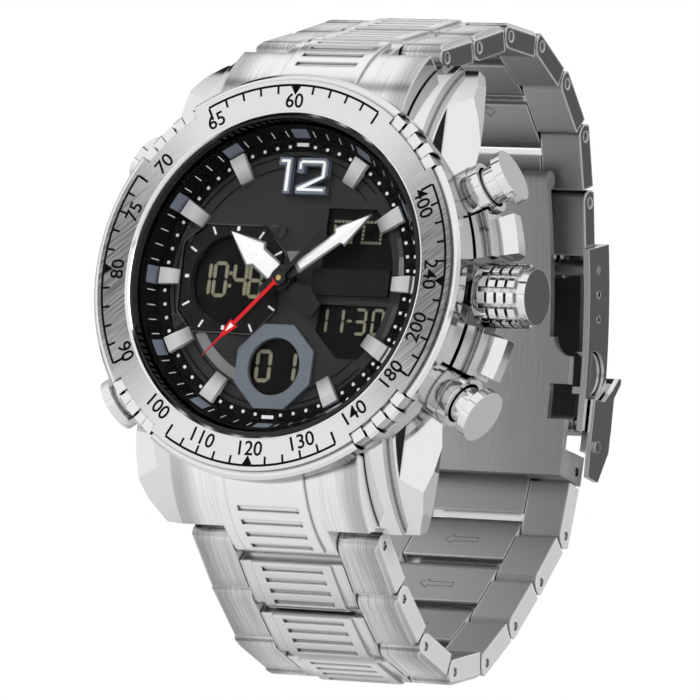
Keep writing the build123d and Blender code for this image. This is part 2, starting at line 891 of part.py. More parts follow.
def clasp_flap():
    """Fold-over safety flap with two cheeks, a finger lip and its rivet."""
    inner = wall_inner + wall_thickness + flap_gap
    outer = inner + flap_wall
    end = bow_length()
    start = end - flap_start - flap_lip
    roof_low = wall_high + flap_roof_clearance
    roof_high = roof_low + flap_wall
    shoulder = end - flap_start
    tail = end + rivet_radius
    cheek_outline = Polyline(
        bow(shoulder, -flap_low), bow(shoulder, flap_low), bow(start + flap_lip / 2, roof_low),
        bow(start, roof_high + flap_lip_rise - flap_wall), bow(start, roof_high + flap_lip_rise),
        bow(start + flap_wall, roof_high + flap_lip_rise), bow(shoulder - flap_wall, roof_high),
        bow(end - rivet_back, roof_high), bow(tail, flap_low + rivet_radius), bow(tail, -rivet_radius),
        bow(end - rivet_back, -flap_low), close=True)
    cheek = across(make_face(cheek_outline), inner, outer)
    roof_outline = Polyline(
        bow(start, roof_high + flap_lip_rise - flap_wall), bow(start, roof_high + flap_lip_rise),
        bow(start + flap_wall, roof_high + flap_lip_rise), bow(shoulder - flap_wall, roof_high),
        bow(end - rivet_back - flap_roof_back, roof_high), bow(end - rivet_back - flap_roof_back, roof_low),
        bow(shoulder - flap_wall, roof_low), bow(start + flap_wall, roof_high + flap_wall), close=True)
    flap = across(make_face(roof_outline), -outer, outer) + cheek + mirror(cheek, Plane.YZ)
    flap -= bow_rod(rivet_radius / 2 + pin_clearance, outer + over, end - rivet_back, rivet_high)
    return flap


def flap_rivets():
    """A short rivet on each side: its shank turns in the cover's wall."""
    inner = wall_inner
    outer = wall_inner + wall_thickness + flap_gap + flap_wall
    end = bow_length()
    shank = bow_rod(rivet_radius / 2, outer, end - rivet_back, rivet_high)
    head = bow_rod(rivet_radius, outer + rivet_head, end - rivet_back, rivet_high)
    head -= bow_rod(2 * rivet_radius, outer, end - rivet_back, rivet_high)
    both = shank - bow_rod(2 * rivet_radius, inner, end - rivet_back, rivet_high) + head
    return list(both.solids())


def clasp_button(side):
    outer = wall_inner + wall_thickness - button_recess
    body = across(button_profile(0), outer - button_reach, outer)
    return body if side > 0 else mirror(body, Plane.YZ)


def clasp_spring_bar():
    """Spring bar of the last upper link, with its tips in the first pair of adjustment holes."""
    return bow_rod(spring_bar_radius, wall_inner - side_gap, 0, 0) + bow_rod(
        spring_bar_tip_radius, wall_inner + wall_thickness, 0, 0)


# Dial side


def cut_square(half, flat, x=0, y=0):
    """Outline of a square with its corners cut off; flat is half of each side that is left."""
    quarter = [(half, -flat), (half, flat), (flat, half), (-flat, half)]
    return [(x + u, y + v) for u, v in quarter] + [(x - u, y - v) for u, v in quarter]


def mode_outline():
    return cut_square(mode_ring_radius, mode_ring_flat, 0, mode_window_y)


def windows(bottom, top):
    """The four windows over the display, as cutting bodies."""
    limit = disc(window_limit, bottom, top)
    upper = slab(upper_window, bottom, top) & limit
    lower = slab(lower_window, bottom, top) & limit
    left = disc(time_window_radius, bottom, top, time_window_x)
    return [upper, lower, left, disc(mode_window_radius, bottom, top, 0, mode_window_y)]


def dial_plate():
    bottom = dial_top - dial_thickness
    plate = ring(dial_radius, centre_hole_radius, bottom, dial_top)
    for window in windows(bottom - over, dial_top + over):
        plate -= window
    return plate


def minute_track():
    """Raised ring that carries the minute dots and the markers."""
    track = ring(minute_track_radius, minute_track_inner, dial_top, dial_top + overlay_thickness)
    return track - slab(mode_outline(), dial_top - over, dial_top + over)


def time_plate():
    """Raised eight-sided plate round the left window."""
    top = dial_top + overlay_thickness
    plate = slab(cut_square(time_plate_radius, time_plate_flat, time_window_x), dial_top, top)
    plate &= disc(minute_track_inner, dial_top, top)
    plate -= disc(time_window_radius, dial_top - over, top + over, time_window_x)
    plate -= slab(mode_outline(), dial_top - over, top + over)
    return plate - disc(centre_hole_radius, dial_top - over, top + over)


def centre_bar():
    """Raised bar between the two right-hand windows; it stays bare."""
    return block(bar_left, bar_right, -bar_half_width, bar_half_width, dial_top,
                 dial_top + 2 * overlay_thickness)


def mode_ring():
    top = dial_top + mode_ring_height
    ring_body = slab(mode_outline(), dial_top, top)
    return ring_body - disc(mode_window_radius, dial_top - over, top + over, 0, mode_window_y)


def hour_marker(inner_radius):
    """Applied marker at 3 o'clock, whose top slopes down towards the centre."""
    high = dial_top + overlay_thickness + marker_height
    low = high - marker_height * marker_slope_share
    outline = [(inner_radius, -marker_inner_width / 2), (marker_outer_radius, -marker_outer_width / 2),
               (marker_outer_radius, marker_outer_width / 2), (inner_radius, marker_inner_width / 2)]
    marker = slab(outline, dial_top, high)
    marker -= ring(dial_radius, minute_track_inner, dial_top - over, dial_top + overlay_thickness)
    side = [(inner_radius - over, low), (inner_radius, low), (marker_outer_radius - over, high),
            (marker_outer_radius - over, high + over), (inner_radius - over, high + over)]
    wedge = extrude(Plane.XZ.offset(-marker_outer_width) * make_face(Polyline(*side, close=True)),
                    2 * marker_outer_width)
    return marker - wedge


def hour_markers():
    """Every hour but 12 and 6; those at 3 and 9 are shorter."""
    markers = []
    for hour in (1, 2, 3, 4, 5, 7, 8, 9, 10, 11):
        inner_radius = marker_inner_radius if hour % 3 else marker_side_radius
        markers.append(Rot(0, 0, 90 - 30 * hour) * hour_marker(inner_radius))
    return markers


def numeral_twelve():
    """The applied numeral 12: a flagged 1 and a 2 with cut shoulders."""
    low, high = dial_top, dial_top + overlay_thickness + marker_height
    foot, head, stroke = numeral_bottom, numeral_top, numeral_stroke
    right = numeral_left + 2 * stroke
    one = slab([(right - stroke, foot), (right, foot), (right, head), (numeral_left, head),
                (numeral_left, head - stroke), (right - stroke, head - stroke)], low, high)
    left = right + numeral_gap
    end = left + numeral_width
    waist = foot + 2 * stroke
    two = slab([
        (left, foot), (end, foot), (end, foot + stroke), (left + 2 * stroke, foot + stroke),
        (end, waist + stroke / 2), (end, head - stroke / 2), (end - stroke / 2, head),
        (left + stroke / 2, head), (left, head - stroke / 2), (left, head - 2 * stroke),
        (left + stroke, head - 2 * stroke), (left + stroke, head - stroke),
        (end - stroke, head - stroke), (end - stroke, waist + stroke / 2), (left, foot + stroke),
    ], low, high)
    return [one, two]


def dial_screws():
    """Small black screws at three corners of the left sub-dial."""
    return [disc(dial_screw_radius, dial_top, dial_top + dial_screw_rise, x, y)
            - disc(dial_screw_radius / 2, dial_top + dial_screw_rise / 2, dial_top + over, x, y)
            for x, y in dial_screw_places]


# Movement


def lcd_cell():
    top = dial_top - dial_thickness
    return ring(cell_radius, centre_hole_radius, top - cell_thickness, top)


def circuit_board():
    top = dial_top - dial_thickness - cell_thickness
    return ring(board_radius, centre_hole_radius, top - board_thickness, top)


def movement_holder():
    """Plastic ring that centres the module in the case."""
    top = dial_top - dial_thickness - cell_thickness
    body = ring(holder_radius, holder_radius - holder_wall, holder_bottom, top)
    body -= radial(tube_bore, bore_radius / 2, bore_radius, 0)
    for angle, _ in pusher_places():
        body -= radial(pusher_stem_bore + pin_clearance, bore_radius / 2, bore_radius, angle)
    return body


def main_plate():
    bore = seconds_arbor_radius + pin_clearance
    plate = ring(holder_radius - holder_wall, bore, main_plate_bottom, main_plate_top)
    plate -= disc(battery_radius + pin_clearance, battery_bottom, battery_bottom + battery_height,
                  battery_x, battery_y)
    half = coil_length / 2 + link_gap
    wide = coil_radius + link_gap
    plate -= Pos(coil_x, coil_y, 0) * Rot(0, 0, coil_angle) * block(
        -half, half, -wide, wide, main_plate_bottom + blade_thickness, main_plate_top + over)
    plate -= disc(train_arbor_radius + pin_clearance, main_plate_bottom + blade_thickness,
                  main_plate_top + over, *train_place())
    return plate


def battery():
    body = disc(battery_radius, battery_bottom, battery_bottom + battery_height, battery_x, battery_y)
    return chamfer(body.edges().group_by(Axis.Z)[0], link_gap)


def stepper_coil():
    """Winding on its core, with a soldering tab at each end."""
    height = main_plate_bottom + blade_thickness + coil_radius
    winding = Rot(0, 90, 0) * Cylinder(coil_radius, coil_length - 2 * coil_radius)
    half = coil_length / 2
    tab = block(half - coil_radius, half, -coil_radius, coil_radius, -coil_radius, coil_radius / 2)
    coil = winding + tab + mirror(tab, Plane.YZ)
    return Pos(coil_x, coil_y, height) * Rot(0, 0, coil_angle) * coil


def train_reach():
    """Distance between the centre and the intermediate arbor: two pitch radii in mesh."""
    return minute_pinion_radius + train_wheel_radius


def hour_wheel_radius():
    return train_reach() - train_pinion_radius


def train_place():
    return polar(train_reach(), train_angle)


def wheel(radius, bottom, x=0, y=0):
    """A plain wheel, smaller than its pitch circle by half the gap between wheels in mesh."""
    return disc(radius - mesh_gap / 2, bottom, bottom + wheel_thickness, x, y)


def gear_train():
    """Intermediate wheel and pinion on one arbor, between the minute pinion and the hour wheel."""
    x, y = train_place()
    low = main_plate_bottom + blade_thickness
    arbor = disc(train_arbor_radius, low, hour_wheel_z + 2 * wheel_thickness, x, y)
    arbor += wheel(train_wheel_radius, minute_wheel_z, x, y)
    return arbor + wheel(train_pinion_radius, hour_wheel_z, x, y)


# Hands


def flat_hand(length, right_side, hub, bottom):
    """Flat hand that points to 12, from its length and the outline of its right half, with a hub."""
    outline = [(0, length)] + right_side + [(-x, y) for x, y in reversed(right_side)]
    return slab(outline, bottom, bottom + hand_thickness) + disc(hub, bottom, bottom + hand_thickness)


def turn_to(angle):
    return Rot(0, 0, -angle)


def hour_hand():
    """Barbed arrow with a fin as its tail, on the hour pipe and its wheel."""
    right_side = [
        (hour_barb_half, hour_barb_along), (hour_neck_half, hour_neck_along), (hour_neck_half, 0),
        (hour_tail_half, -hand_hub_radius), (hour_fin_half, -hour_fin_along),
        (hour_fin_end_half, -hour_fin_end),
    ]
    hand = flat_hand(hour_hand_length, right_side, hand_hub_radius, hour_hand_z)
    hand = turn_to(hour_hand_angle) * hand - disc(hour_pipe_radius, 0, case_top * 2)
    pipe = ring(hour_pipe_radius, hour_pipe_bore, hour_wheel_z, hour_hand_z + hand_thickness)
    pipe += wheel(hour_wheel_radius(), hour_wheel_z) - disc(hour_pipe_bore, 0, case_top)
    return [hand, pipe]


def minute_hand():
    """Long barbed arrow on the minute pipe and its pinion."""
    right_side = [
        (minute_barb_half, minute_barb_along), (minute_neck_half, minute_barb_along),
        (minute_neck_half, -minute_tail),
    ]
    hand = flat_hand(minute_hand_length, right_side, minute_hub_radius, minute_hand_z)
    hand = turn_to(minute_hand_angle) * hand - disc(minute_pipe_radius, 0, case_top * 2)
    pipe = ring(minute_pipe_radius, minute_pipe_bore, minute_wheel_z, minute_hand_z + hand_thickness)
    pipe += wheel(minute_pinion_radius, minute_wheel_z) - disc(minute_pipe_bore, 0, case_top)
    return [hand, pipe]


def second_hand():
    """Thin hand with an arrowhead and a long counterweight."""
    point = second_arrow_along + second_arrow_length
    right_side = [
        (second_tip_half, point), (second_arrow_half, second_arrow_along),
        (second_hand_half, second_arrow_along), (second_hand_half, -second_tail / 2),
        (second_tail_half, -second_tail),
    ]
    top = second_hand_z + hand_thickness
    hand = flat_hand(second_hand_length, right_side, second_hub_radius, second_hand_z)
    hand = turn_to(second_hand_angle) * hand - disc(seconds_arbor_radius, 0, case_top * 2)
    low = main_plate_bottom + blade_thickness
    arbor = disc(seconds_arbor_radius, low, top)
    arbor += disc(seconds_wheel_radius, seconds_wheel_z, seconds_wheel_z + wheel_thickness)
    return [hand, arbor]


# Controls


def crown():
    """Fluted crown: long flutes, cross grooves that break each land, and a flat polished end."""
    body = radial(crown_radius, crown_start, crown_flute_end, 0)
    body += radial(crown_face_radius, crown_flute_end, crown_end, 0)
    for number in range(crown_flutes):
        flute = block(crown_start + crown_ring_width * 2, crown_flute_end + over,
                      -crown_flute_width / 2, crown_flute_width / 2,
                      crown_radius - crown_flute_depth, crown_radius + over)
        body -= Pos(0, 0, control_height) * Rot(360 * number / crown_flutes, 0, 0) * flute
    pitch = (crown_flute_end - crown_start - crown_ring_width) / (crown_rings + 1)
    for number in range(crown_rings):
        start = crown_start + crown_ring_width + pitch * (number + 1)
        groove = radial(crown_radius + over, start, start + crown_ring_width, 0)
        groove -= radial(crown_radius - crown_flute_depth, start - over, start + 2 * over, 0)
        body -= groove
    body -= radial(tube_radius + gasket_width + pin_clearance, crown_start - over,
                   crown_start + crown_pocket, 0)
    return body


def crown_stem():
    return radial(stem_radius, stem_inner_end, crown_start + crown_pocket, 0)


def crown_gasket():
    """Rubber ring inside the crown: it slides on the tube with the crown but doesn't turn."""
    start = crown_start + gasket_width
    end = start + gasket_width * 2
    body = radial(tube_radius + gasket_width, start, end, 0)
    return body - radial(tube_radius + pin_clearance, start - over, end + over, 0)


def crown_tube():
    end = crown_start + crown_pocket - crown_pull - link_gap
    body = radial(tube_radius, bore_radius, end, 0)
    return body - radial(tube_bore, bore_radius - over, end + over, 0)


def pusher_housing(angle, inset):
    """Two-banded round housing fixed in the case wall."""
    end = housing_end - inset
    body = radial(housing_radius, housing_start - inset, housing_step - inset, angle)
    body += radial(housing_radius - housing_band, housing_step - inset, end, angle)
    body -= radial(pusher_pocket_radius, pusher_pocket_floor - inset, end + over, angle)
    return body - radial(pusher_stem_bore, housing_start - inset - over, end, angle)


def pusher(angle, inset):
    """Push-piece: a mushroom cap on a neck, and a thin stem through the case."""
    seat = housing_end - pusher_neck_seat - inset
    cap = pusher_cap_start - inset
    body = radial(pusher_neck_radius, seat, cap, angle)
    body += radial(pusher_cap_radius, cap, pusher_end - inset, angle)
    return body + radial(pusher_stem_radius, pusher_stem_start, cap, angle)


def pusher_spring(angle, inset):
    """Return spring at the bottom of the housing's pocket, at its pressed length."""
    start = pusher_pocket_floor - inset
    end = housing_end - pusher_neck_seat - pusher_travel - pin_clearance - inset
    body = radial(spring_outer_radius, start, end, angle)
    return body - radial(spring_inner_radius, start - over, end + over, angle)


# The assembly


def assembly():
    """Every node of the watch as a name and a list of solids."""
    parts = {
        "case_middle": [case_middle()],
        "bezel_ring": [bezel_ring()],
        "bezel_plate": [bezel_plate()],
        "glass": [glass()],
        "glass_gasket": [glass_gasket()],
        "chapter_ring": [chapter_ring()],
        "case_back": [case_back()],
        "back_gasket": [back_gasket()],
        "back_screws": back_screws(),
        "dial_plate": [dial_plate()],
        "minute_track": [minute_track()],
        "subdial_plates": [time_plate(), centre_bar()],
        "mode_ring": [mode_ring()],
        "hour_markers": hour_markers(),
        "numeral_twelve": numeral_twelve(),
        "dial_screws": dial_screws(),
        "lcd_cell": [lcd_cell()],
        "circuit_board": [circuit_board()],
        "movement_holder": [movement_holder()],
        "main_plate": [main_plate()],
        "battery": [battery()],
        "stepper_coil": [stepper_coil()],
        "gear_train": [gear_train()],
        "hour_hand": hour_hand(),
        "minute_hand": minute_hand(),
        "second_hand": second_hand(),
        "crown": [crown(), crown_stem()],
        "crown_gasket": [crown_gasket()],
        "crown_tube": [crown_tube()],
        "pusher_housings": [pusher_housing(*place) for place in pusher_places()],
        "pusher_springs": [pusher_spring(*place) for place in pusher_places()],
        "lug_spring_bars": lug_spring_bars(),
    }
    for name, place in zip(("pusher_2", "pusher_4", "pusher_8", "pusher_10"), pusher_places()):
        parts[name] = [pusher(*place)]
    parts["end_link_12"] = [end_link()]
    parts["end_link_6"] = [mirror(end_link(), Plane.XZ)]
    for name, side, headings in (("link_12", 1, upper_headings), ("link_6", -1, lower_headings)):
        for number in range(len(headings)):
            last = side > 0 and number == len(headings) - 1
            bore = (spring_bar_radius if last else pin_radius) + pin_clearance
            place = link_place(side, headings, number)
            solids = link(bore, split=side > 0 and number == 0)
            parts[f"{name}_{number + 1}"] = [place * solid for solid in solids]
    clasp = {
        "clasp_cover": [clasp_cover(), cover_pin()],
        "clasp_middle_blade": [clasp_middle_blade()],
        "clasp_inner_blade": [clasp_inner_blade(), barrel_pin(), end_pin()],
        "clasp_flap": [clasp_flap()] + flap_rivets(),
        "clasp_button_3": [clasp_button(1)],
        "clasp_button_9": [clasp_button(-1)],
        "clasp_spring_bar": [clasp_spring_bar()],
    }
    for name, solids in clasp.items():
        parts[name] = [clasp_place() * solid for solid in solids]
    return parts


def write(parts):
    os.makedirs("parts", exist_ok=True)
    for name, solids in parts.items():
        upright = [Rot(90, 0, 0) * solid for solid in solids]
        shape = upright[0] if len(upright) == 1 else Compound(children=upright)
        export_step(shape, f"parts/{name}.step")


if __name__ == "__main__":
    write(assembly())
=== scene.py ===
# %% [markdown]
# A wristwatch with hands over a digital display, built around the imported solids. The solids give every
# steel piece its place and shape. This script gives them their finishes and adds what is printed, painted
# or lit: the number scale, the dial prints, the display's digits and the white fills of the hands.

# %% Load the solids
from math import atan2, cos, degrees, hypot, pi, radians, sin

import bmesh
import bpy
from mathutils import Matrix, Vector
from mathutils.bvhtree import BVHTree


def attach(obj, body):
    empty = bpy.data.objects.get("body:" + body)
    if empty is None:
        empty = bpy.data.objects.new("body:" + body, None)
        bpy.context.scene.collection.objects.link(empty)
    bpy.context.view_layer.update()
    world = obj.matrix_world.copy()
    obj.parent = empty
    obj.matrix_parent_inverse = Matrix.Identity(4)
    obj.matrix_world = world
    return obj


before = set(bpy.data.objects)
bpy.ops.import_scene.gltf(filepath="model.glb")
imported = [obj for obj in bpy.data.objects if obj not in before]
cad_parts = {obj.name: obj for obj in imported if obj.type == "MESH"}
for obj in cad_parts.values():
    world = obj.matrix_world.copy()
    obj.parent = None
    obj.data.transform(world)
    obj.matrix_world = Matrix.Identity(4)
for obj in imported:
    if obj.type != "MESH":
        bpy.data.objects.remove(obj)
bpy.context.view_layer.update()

# %% [markdown]
# The watch stands with 12 o'clock up and its dial facing along minus Y. Prints are easier to draw flat,
# in millimetres, with X to 3 o'clock, Y to 12 o'clock and Z out of the dial, so one matrix turns a flat
# drawing upright and into metres. It is applied to each mesh, which leaves every object at the origin.

# %% Flat drawing to watch
MM = 0.001
DIAL = Matrix.Scale(MM, 4) @ Matrix.Rotation(radians(90), 4, "X")
PLATE_TOP = 15.0
DIAL_TOP = 11.3
OVERLAY_TOP = 11.55
CELL_TOP = 10.9


def polar(radius, angle):
    return (radius * cos(radians(angle)), radius * sin(radians(angle)))


def add_object(name, mesh, material, body="head"):
    """A finished mesh in the dial's drawing becomes a piece that rides on a body."""
    mesh.transform(DIAL)
    mesh.name = name
    mesh.materials.clear()
    mesh.materials.append(material)
    piece = bpy.data.objects.new(name, mesh)
    bpy.context.scene.collection.objects.link(piece)
    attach(piece, body)
    return piece


# %% [markdown]
# The photograph was taken with a long lens from the right and a little below the dial. A camera that was
# fitted to marks on the bezel, dial and bracelet pins gives the place, the turn and the field of view.

# %% Camera
right = Vector((0.8782, 0.4611, 0.1269))
up = Vector((-0.0367, -0.1997, 0.9792))
back = right.cross(up).normalized()
up = back.cross(right).normalized()
camera_data = bpy.data.cameras.new("camera")
camera_data.sensor_width = 36
camera_data.lens = 399.0
camera_data.clip_start = 0.01
camera_data.clip_end = 10
camera = bpy.data.objects.new("camera", camera_data)
turn = Matrix((right.normalized(), up, back)).transposed().to_4x4()
camera.matrix_world = Matrix.Translation((0.42105, -0.7582, -0.1444)) @ turn
bpy.context.scene.collection.objects.link(camera)
bpy.context.scene.camera = camera
bpy.context.scene.view_settings.view_transform = "Standard"

# %% [markdown]
# Steel shows what surrounds it, so a watch is lit by what it reflects. The world is white wherever the
# camera, glass or a reflection meets it, and dark cards near the watch make the grey and black bands that
# give steel its form. A card fades out towards its rim, as a cloth screen out of focus does, and only
# reflections see it. The lamps give matt pieces their light and aren't mirrored.


# %% World, lamps and cards
def build_world():
    world = bpy.data.worlds.new("studio")
    bpy.context.scene.world = world
    world.use_nodes = True
    nodes, links = world.node_tree.nodes, world.node_tree.links
    nodes.clear()
    out = nodes.new("ShaderNodeOutputWorld")
    light = nodes.new("ShaderNodeBackground")
    light.inputs["Color"].default_value = (0.97, 0.98, 1.0, 1)
    light.inputs["Strength"].default_value = 0.5
    seen = nodes.new("ShaderNodeBackground")
    seen.inputs["Color"].default_value = (1, 1, 1, 1)
    path = nodes.new("ShaderNodeLightPath")
    mix = nodes.new("ShaderNodeMixShader")
    any_seen = path.outputs["Is Camera Ray"]
    for kind in ("Is Glossy Ray", "Is Transmission Ray"):
        either = nodes.new("ShaderNodeMath")
        either.operation = "MAXIMUM"
        links.new(any_seen, either.inputs[0])
        links.new(path.outputs[kind], either.inputs[1])
        any_seen = either.outputs[0]
    links.new(any_seen, mix.inputs["Fac"])
    links.new(light.outputs[0], mix.inputs[1])
    links.new(seen.outputs[0], mix.inputs[2])
    links.new(mix.outputs[0], out.inputs["Surface"])


def aim(obj, place, target=(0, 0, 0)):
    obj.location = place
    direction = Vector(target) - Vector(place)
    obj.rotation_mode = "QUATERNION"
    obj.rotation_quaternion = direction.to_track_quat("-Z", "Y")


def lamp(name, place, width, height, power):
    data = bpy.data.lights.new(name, "AREA")
    data.shape = "RECTANGLE"
    data.size, data.size_y = width, height
    data.energy = power
    obj = bpy.data.objects.new(name, data)
    bpy.context.scene.collection.objects.link(obj)
    aim(obj, place)
    obj.visible_glossy = False
    return obj


def card_material(name, grey, cover):
    """Dark in the middle and clear at the rim, by the distance from the card's own centre."""
    material = bpy.data.materials.new(name)
    material.use_nodes = True
    nodes, links = material.node_tree.nodes, material.node_tree.links
    nodes.clear()
    place = nodes.new("ShaderNodeTexCoord")
    reach = nodes.new("ShaderNodeVectorMath")
    reach.operation = "LENGTH"
    fade = nodes.new("ShaderNodeMapRange")
    fade.interpolation_type = "SMOOTHSTEP"
    for label, value in (("From Min", 0.55), ("From Max", 1.0), ("To Min", cover), ("To Max", 0)):
        fade.inputs[label].default_value = value
    dark = nodes.new("ShaderNodeEmission")
    dark.inputs["Color"].default_value = (grey, grey, grey, 1)
    clear = nodes.new("ShaderNodeBsdfTransparent")
    mix = nodes.new("ShaderNodeMixShader")
    out = nodes.new("ShaderNodeOutputMaterial")
    links.new(place.outputs["Object"], reach.inputs[0])
    links.new(reach.outputs["Value"], fade.inputs["Value"])
    links.new(fade.outputs["Result"], mix.inputs["Fac"])
    links.new(clear.outputs[0], mix.inputs[1])
    links.new(dark.outputs[0], mix.inputs[2])
    links.new(mix.outputs[0], out.inputs["Surface"])
    return material


def card(name, way, distance, width, height, grey=0.02, cover=1.0, turn=0):
    """A dark screen that only reflections see, in a given direction from the watch."""
    mesh = bpy.data.meshes.new(name)
    mesh.from_pydata([(-1, -1, 0), (1, -1, 0), (1, 1, 0), (-1, 1, 0)], [], [(0, 1, 2, 3)])
    mesh.materials.append(card_material(name, grey, cover))
    obj = bpy.data.objects.new(name, mesh)
    bpy.context.scene.collection.objects.link(obj)
    aim(obj, Vector(way).normalized() * distance)
    obj.rotation_quaternion = obj.rotation_quaternion @ Matrix.Rotation(radians(turn), 3, "Z").to_quaternion()
    obj.scale = (width / 2, height / 2, 1)
    obj.visible_camera = obj.visible_diffuse = obj.visible_shadow = obj.visible_transmission = False
    return obj


build_world()
lamp("lamp_above_left", (-0.45, -0.55, 0.55), 0.5, 0.5, 5)
lamp("lamp_right", (0.75, -0.15, 0.25), 0.25, 0.7, 3)
lamp("lamp_front_low", (0.05, -0.8, -0.35), 0.6, 0.2, 2)
card("card_up", (-0.45, 0.45, 0.78), 0.5, 0.5, 0.16)
card("card_high_strip", (-0.48, -0.55, 0.68), 0.6, 0.7, 0.1)
card("card_low_strip", (-0.5, -0.42, -0.75), 0.5, 0.6, 0.1)
card("card_right", (0.92, -0.3, 0.05), 0.5, 0.22, 0.8)
card("card_side", (0.5, 0.86, 0.13), 0.6, 0.42, 0.36, 0.06, 0.9)
card("card_behind_low", (0.3, 0.6, -0.75), 0.6, 0.6, 0.3, 0.1, 0.7)

# %% [markdown]
# A plain pale floor lies below the watch. The photograph's camera is lower than the floor, so the floor's
# back lets that view through, and seen from above it is a plain surface that takes the shadow.


# %% Floor
def build_floor(height):
    mesh = bpy.data.meshes.new("floor")
    mesh.from_pydata([(-3, -3, height), (3, -3, height), (3, 3, height), (-3, 3, height)], [], [(0, 1, 2, 3)])
    material = bpy.data.materials.new("pale_floor")
    material.use_nodes = True
    nodes, links = material.node_tree.nodes, material.node_tree.links
    shader = nodes["Principled BSDF"]
    shader.inputs["Base Color"].default_value = (0.86, 0.86, 0.86, 1)
    shader.inputs["Roughness"].default_value = 0.6
    through = nodes.new("ShaderNodeBsdfTransparent")
    side = nodes.new("ShaderNodeNewGeometry")
    mix = nodes.new("ShaderNodeMixShader")
    links.new(side.outputs["Backfacing"], mix.inputs["Fac"])
    links.new(shader.outputs[0], mix.inputs[1])
    links.new(through.outputs[0], mix.inputs[2])
    links.new(mix.outputs[0], nodes["Material Output"].inputs["Surface"])
    mesh.materials.append(material)
    floor = bpy.data.objects.new("floor", mesh)
    bpy.context.scene.collection.objects.link(floor)


build_floor(-0.062)

# %% [markdown]
# Brushed steel is steel with fine parallel scratches. A noise that is squeezed across the scratches and
# stretched along them gives their height, and two values, the turn and the density, set how they run on
# each piece. More than one finish uses it, so it is a node group. So are the distance along a direction
# and the parts of a link: its rounded outside, the painted shade at its ends, its satin inside and its
# polished flanks.


# %% Node groups
def new_group(name, inputs, outputs):
    tree = bpy.data.node_groups.new(name, "ShaderNodeTree")
    for label, kind, value in inputs:
        socket = tree.interface.new_socket(label, in_out="INPUT", socket_type=kind)
        if value is not None:
            socket.default_value = value
    for label, kind in outputs:
        tree.interface.new_socket(label, in_out="OUTPUT", socket_type=kind)
    return tree, tree.nodes.new("NodeGroupInput"), tree.nodes.new("NodeGroupOutput")


def put(links, value, socket):
    """Link an output to a socket, or set the socket where a plain value is given."""
    if isinstance(value, bpy.types.NodeSocket):
        links.new(value, socket)
    elif value is not None:
        socket.default_value = value


def math(nodes, links, operation, *values):
    node = nodes.new("ShaderNodeMath")
    node.operation = operation
    for socket, value in zip(node.inputs, values):
        put(links, value, socket)
    return node.outputs[0]


def dot(nodes, links, first, second):
    node = nodes.new("ShaderNodeVectorMath")
    node.operation = "DOT_PRODUCT"
    put(links, first, node.inputs[0])
    put(links, second, node.inputs[1])
    return node.outputs["Value"]


def ramp(nodes, links, value, low, high, start=0.0, end=1.0):
    """A soft step of a value from low to high."""
    node = nodes.new("ShaderNodeMapRange")
    node.interpolation_type = "SMOOTHSTEP"
    put(links, value, node.inputs["Value"])
    for label, number in (("From Min", low), ("From Max", high), ("To Min", start), ("To Max", end)):
        put(links, number, node.inputs[label])
    return node.outputs["Result"]


def blend(nodes, links, factor, first, second):
    """Mix of two colours, each a colour or an output."""
    node = nodes.new("ShaderNodeMix")
    node.data_type = "RGBA"
    put(links, factor, node.inputs["Factor"])
    for value, socket in ((first, node.inputs[6]), (second, node.inputs[7])):
        put(links, value if isinstance(value, bpy.types.NodeSocket) else (*value, 1), socket)
    return node.outputs[2]


def streak_group():
    inputs = [("Vector", "NodeSocketVector", None), ("Turn", "NodeSocketVector", None),
              ("Squeeze", "NodeSocketVector", (1, 1, 1)), ("Density", "NodeSocketFloat", 9000.0)]
    tree, source, result = new_group("streaks", inputs, [("Height", "NodeSocketFloat")])
    mapping = tree.nodes.new("ShaderNodeMapping")
    squeeze = tree.nodes.new("ShaderNodeVectorMath")
    squeeze.operation = "MULTIPLY"
    noise = tree.nodes.new("ShaderNodeTexNoise")
    noise.inputs["Detail"].default_value = 3
    tree.links.new(source.outputs["Vector"], mapping.inputs["Vector"])
    tree.links.new(source.outputs["Turn"], mapping.inputs["Rotation"])
    tree.links.new(mapping.outputs[0], squeeze.inputs[0])
    tree.links.new(source.outputs["Squeeze"], squeeze.inputs[1])
    tree.links.new(squeeze.outputs[0], noise.inputs["Vector"])
    tree.links.new(source.outputs["Density"], noise.inputs["Scale"])
    tree.links.new(noise.outputs["Fac"], result.inputs["Height"])
    return tree


def along_group():
    """Distance along a direction from the dial's centre, in metres."""
    inputs = [("Vector", "NodeSocketVector", None), ("Direction", "NodeSocketVector", (0, 0, 1))]
    tree, source, result = new_group("along", inputs, [("Distance", "NodeSocketFloat")])
    distance = dot(tree.nodes, tree.links, source.outputs["Vector"], source.outputs["Direction"])
    tree.links.new(distance, result.inputs["Distance"])
    return tree


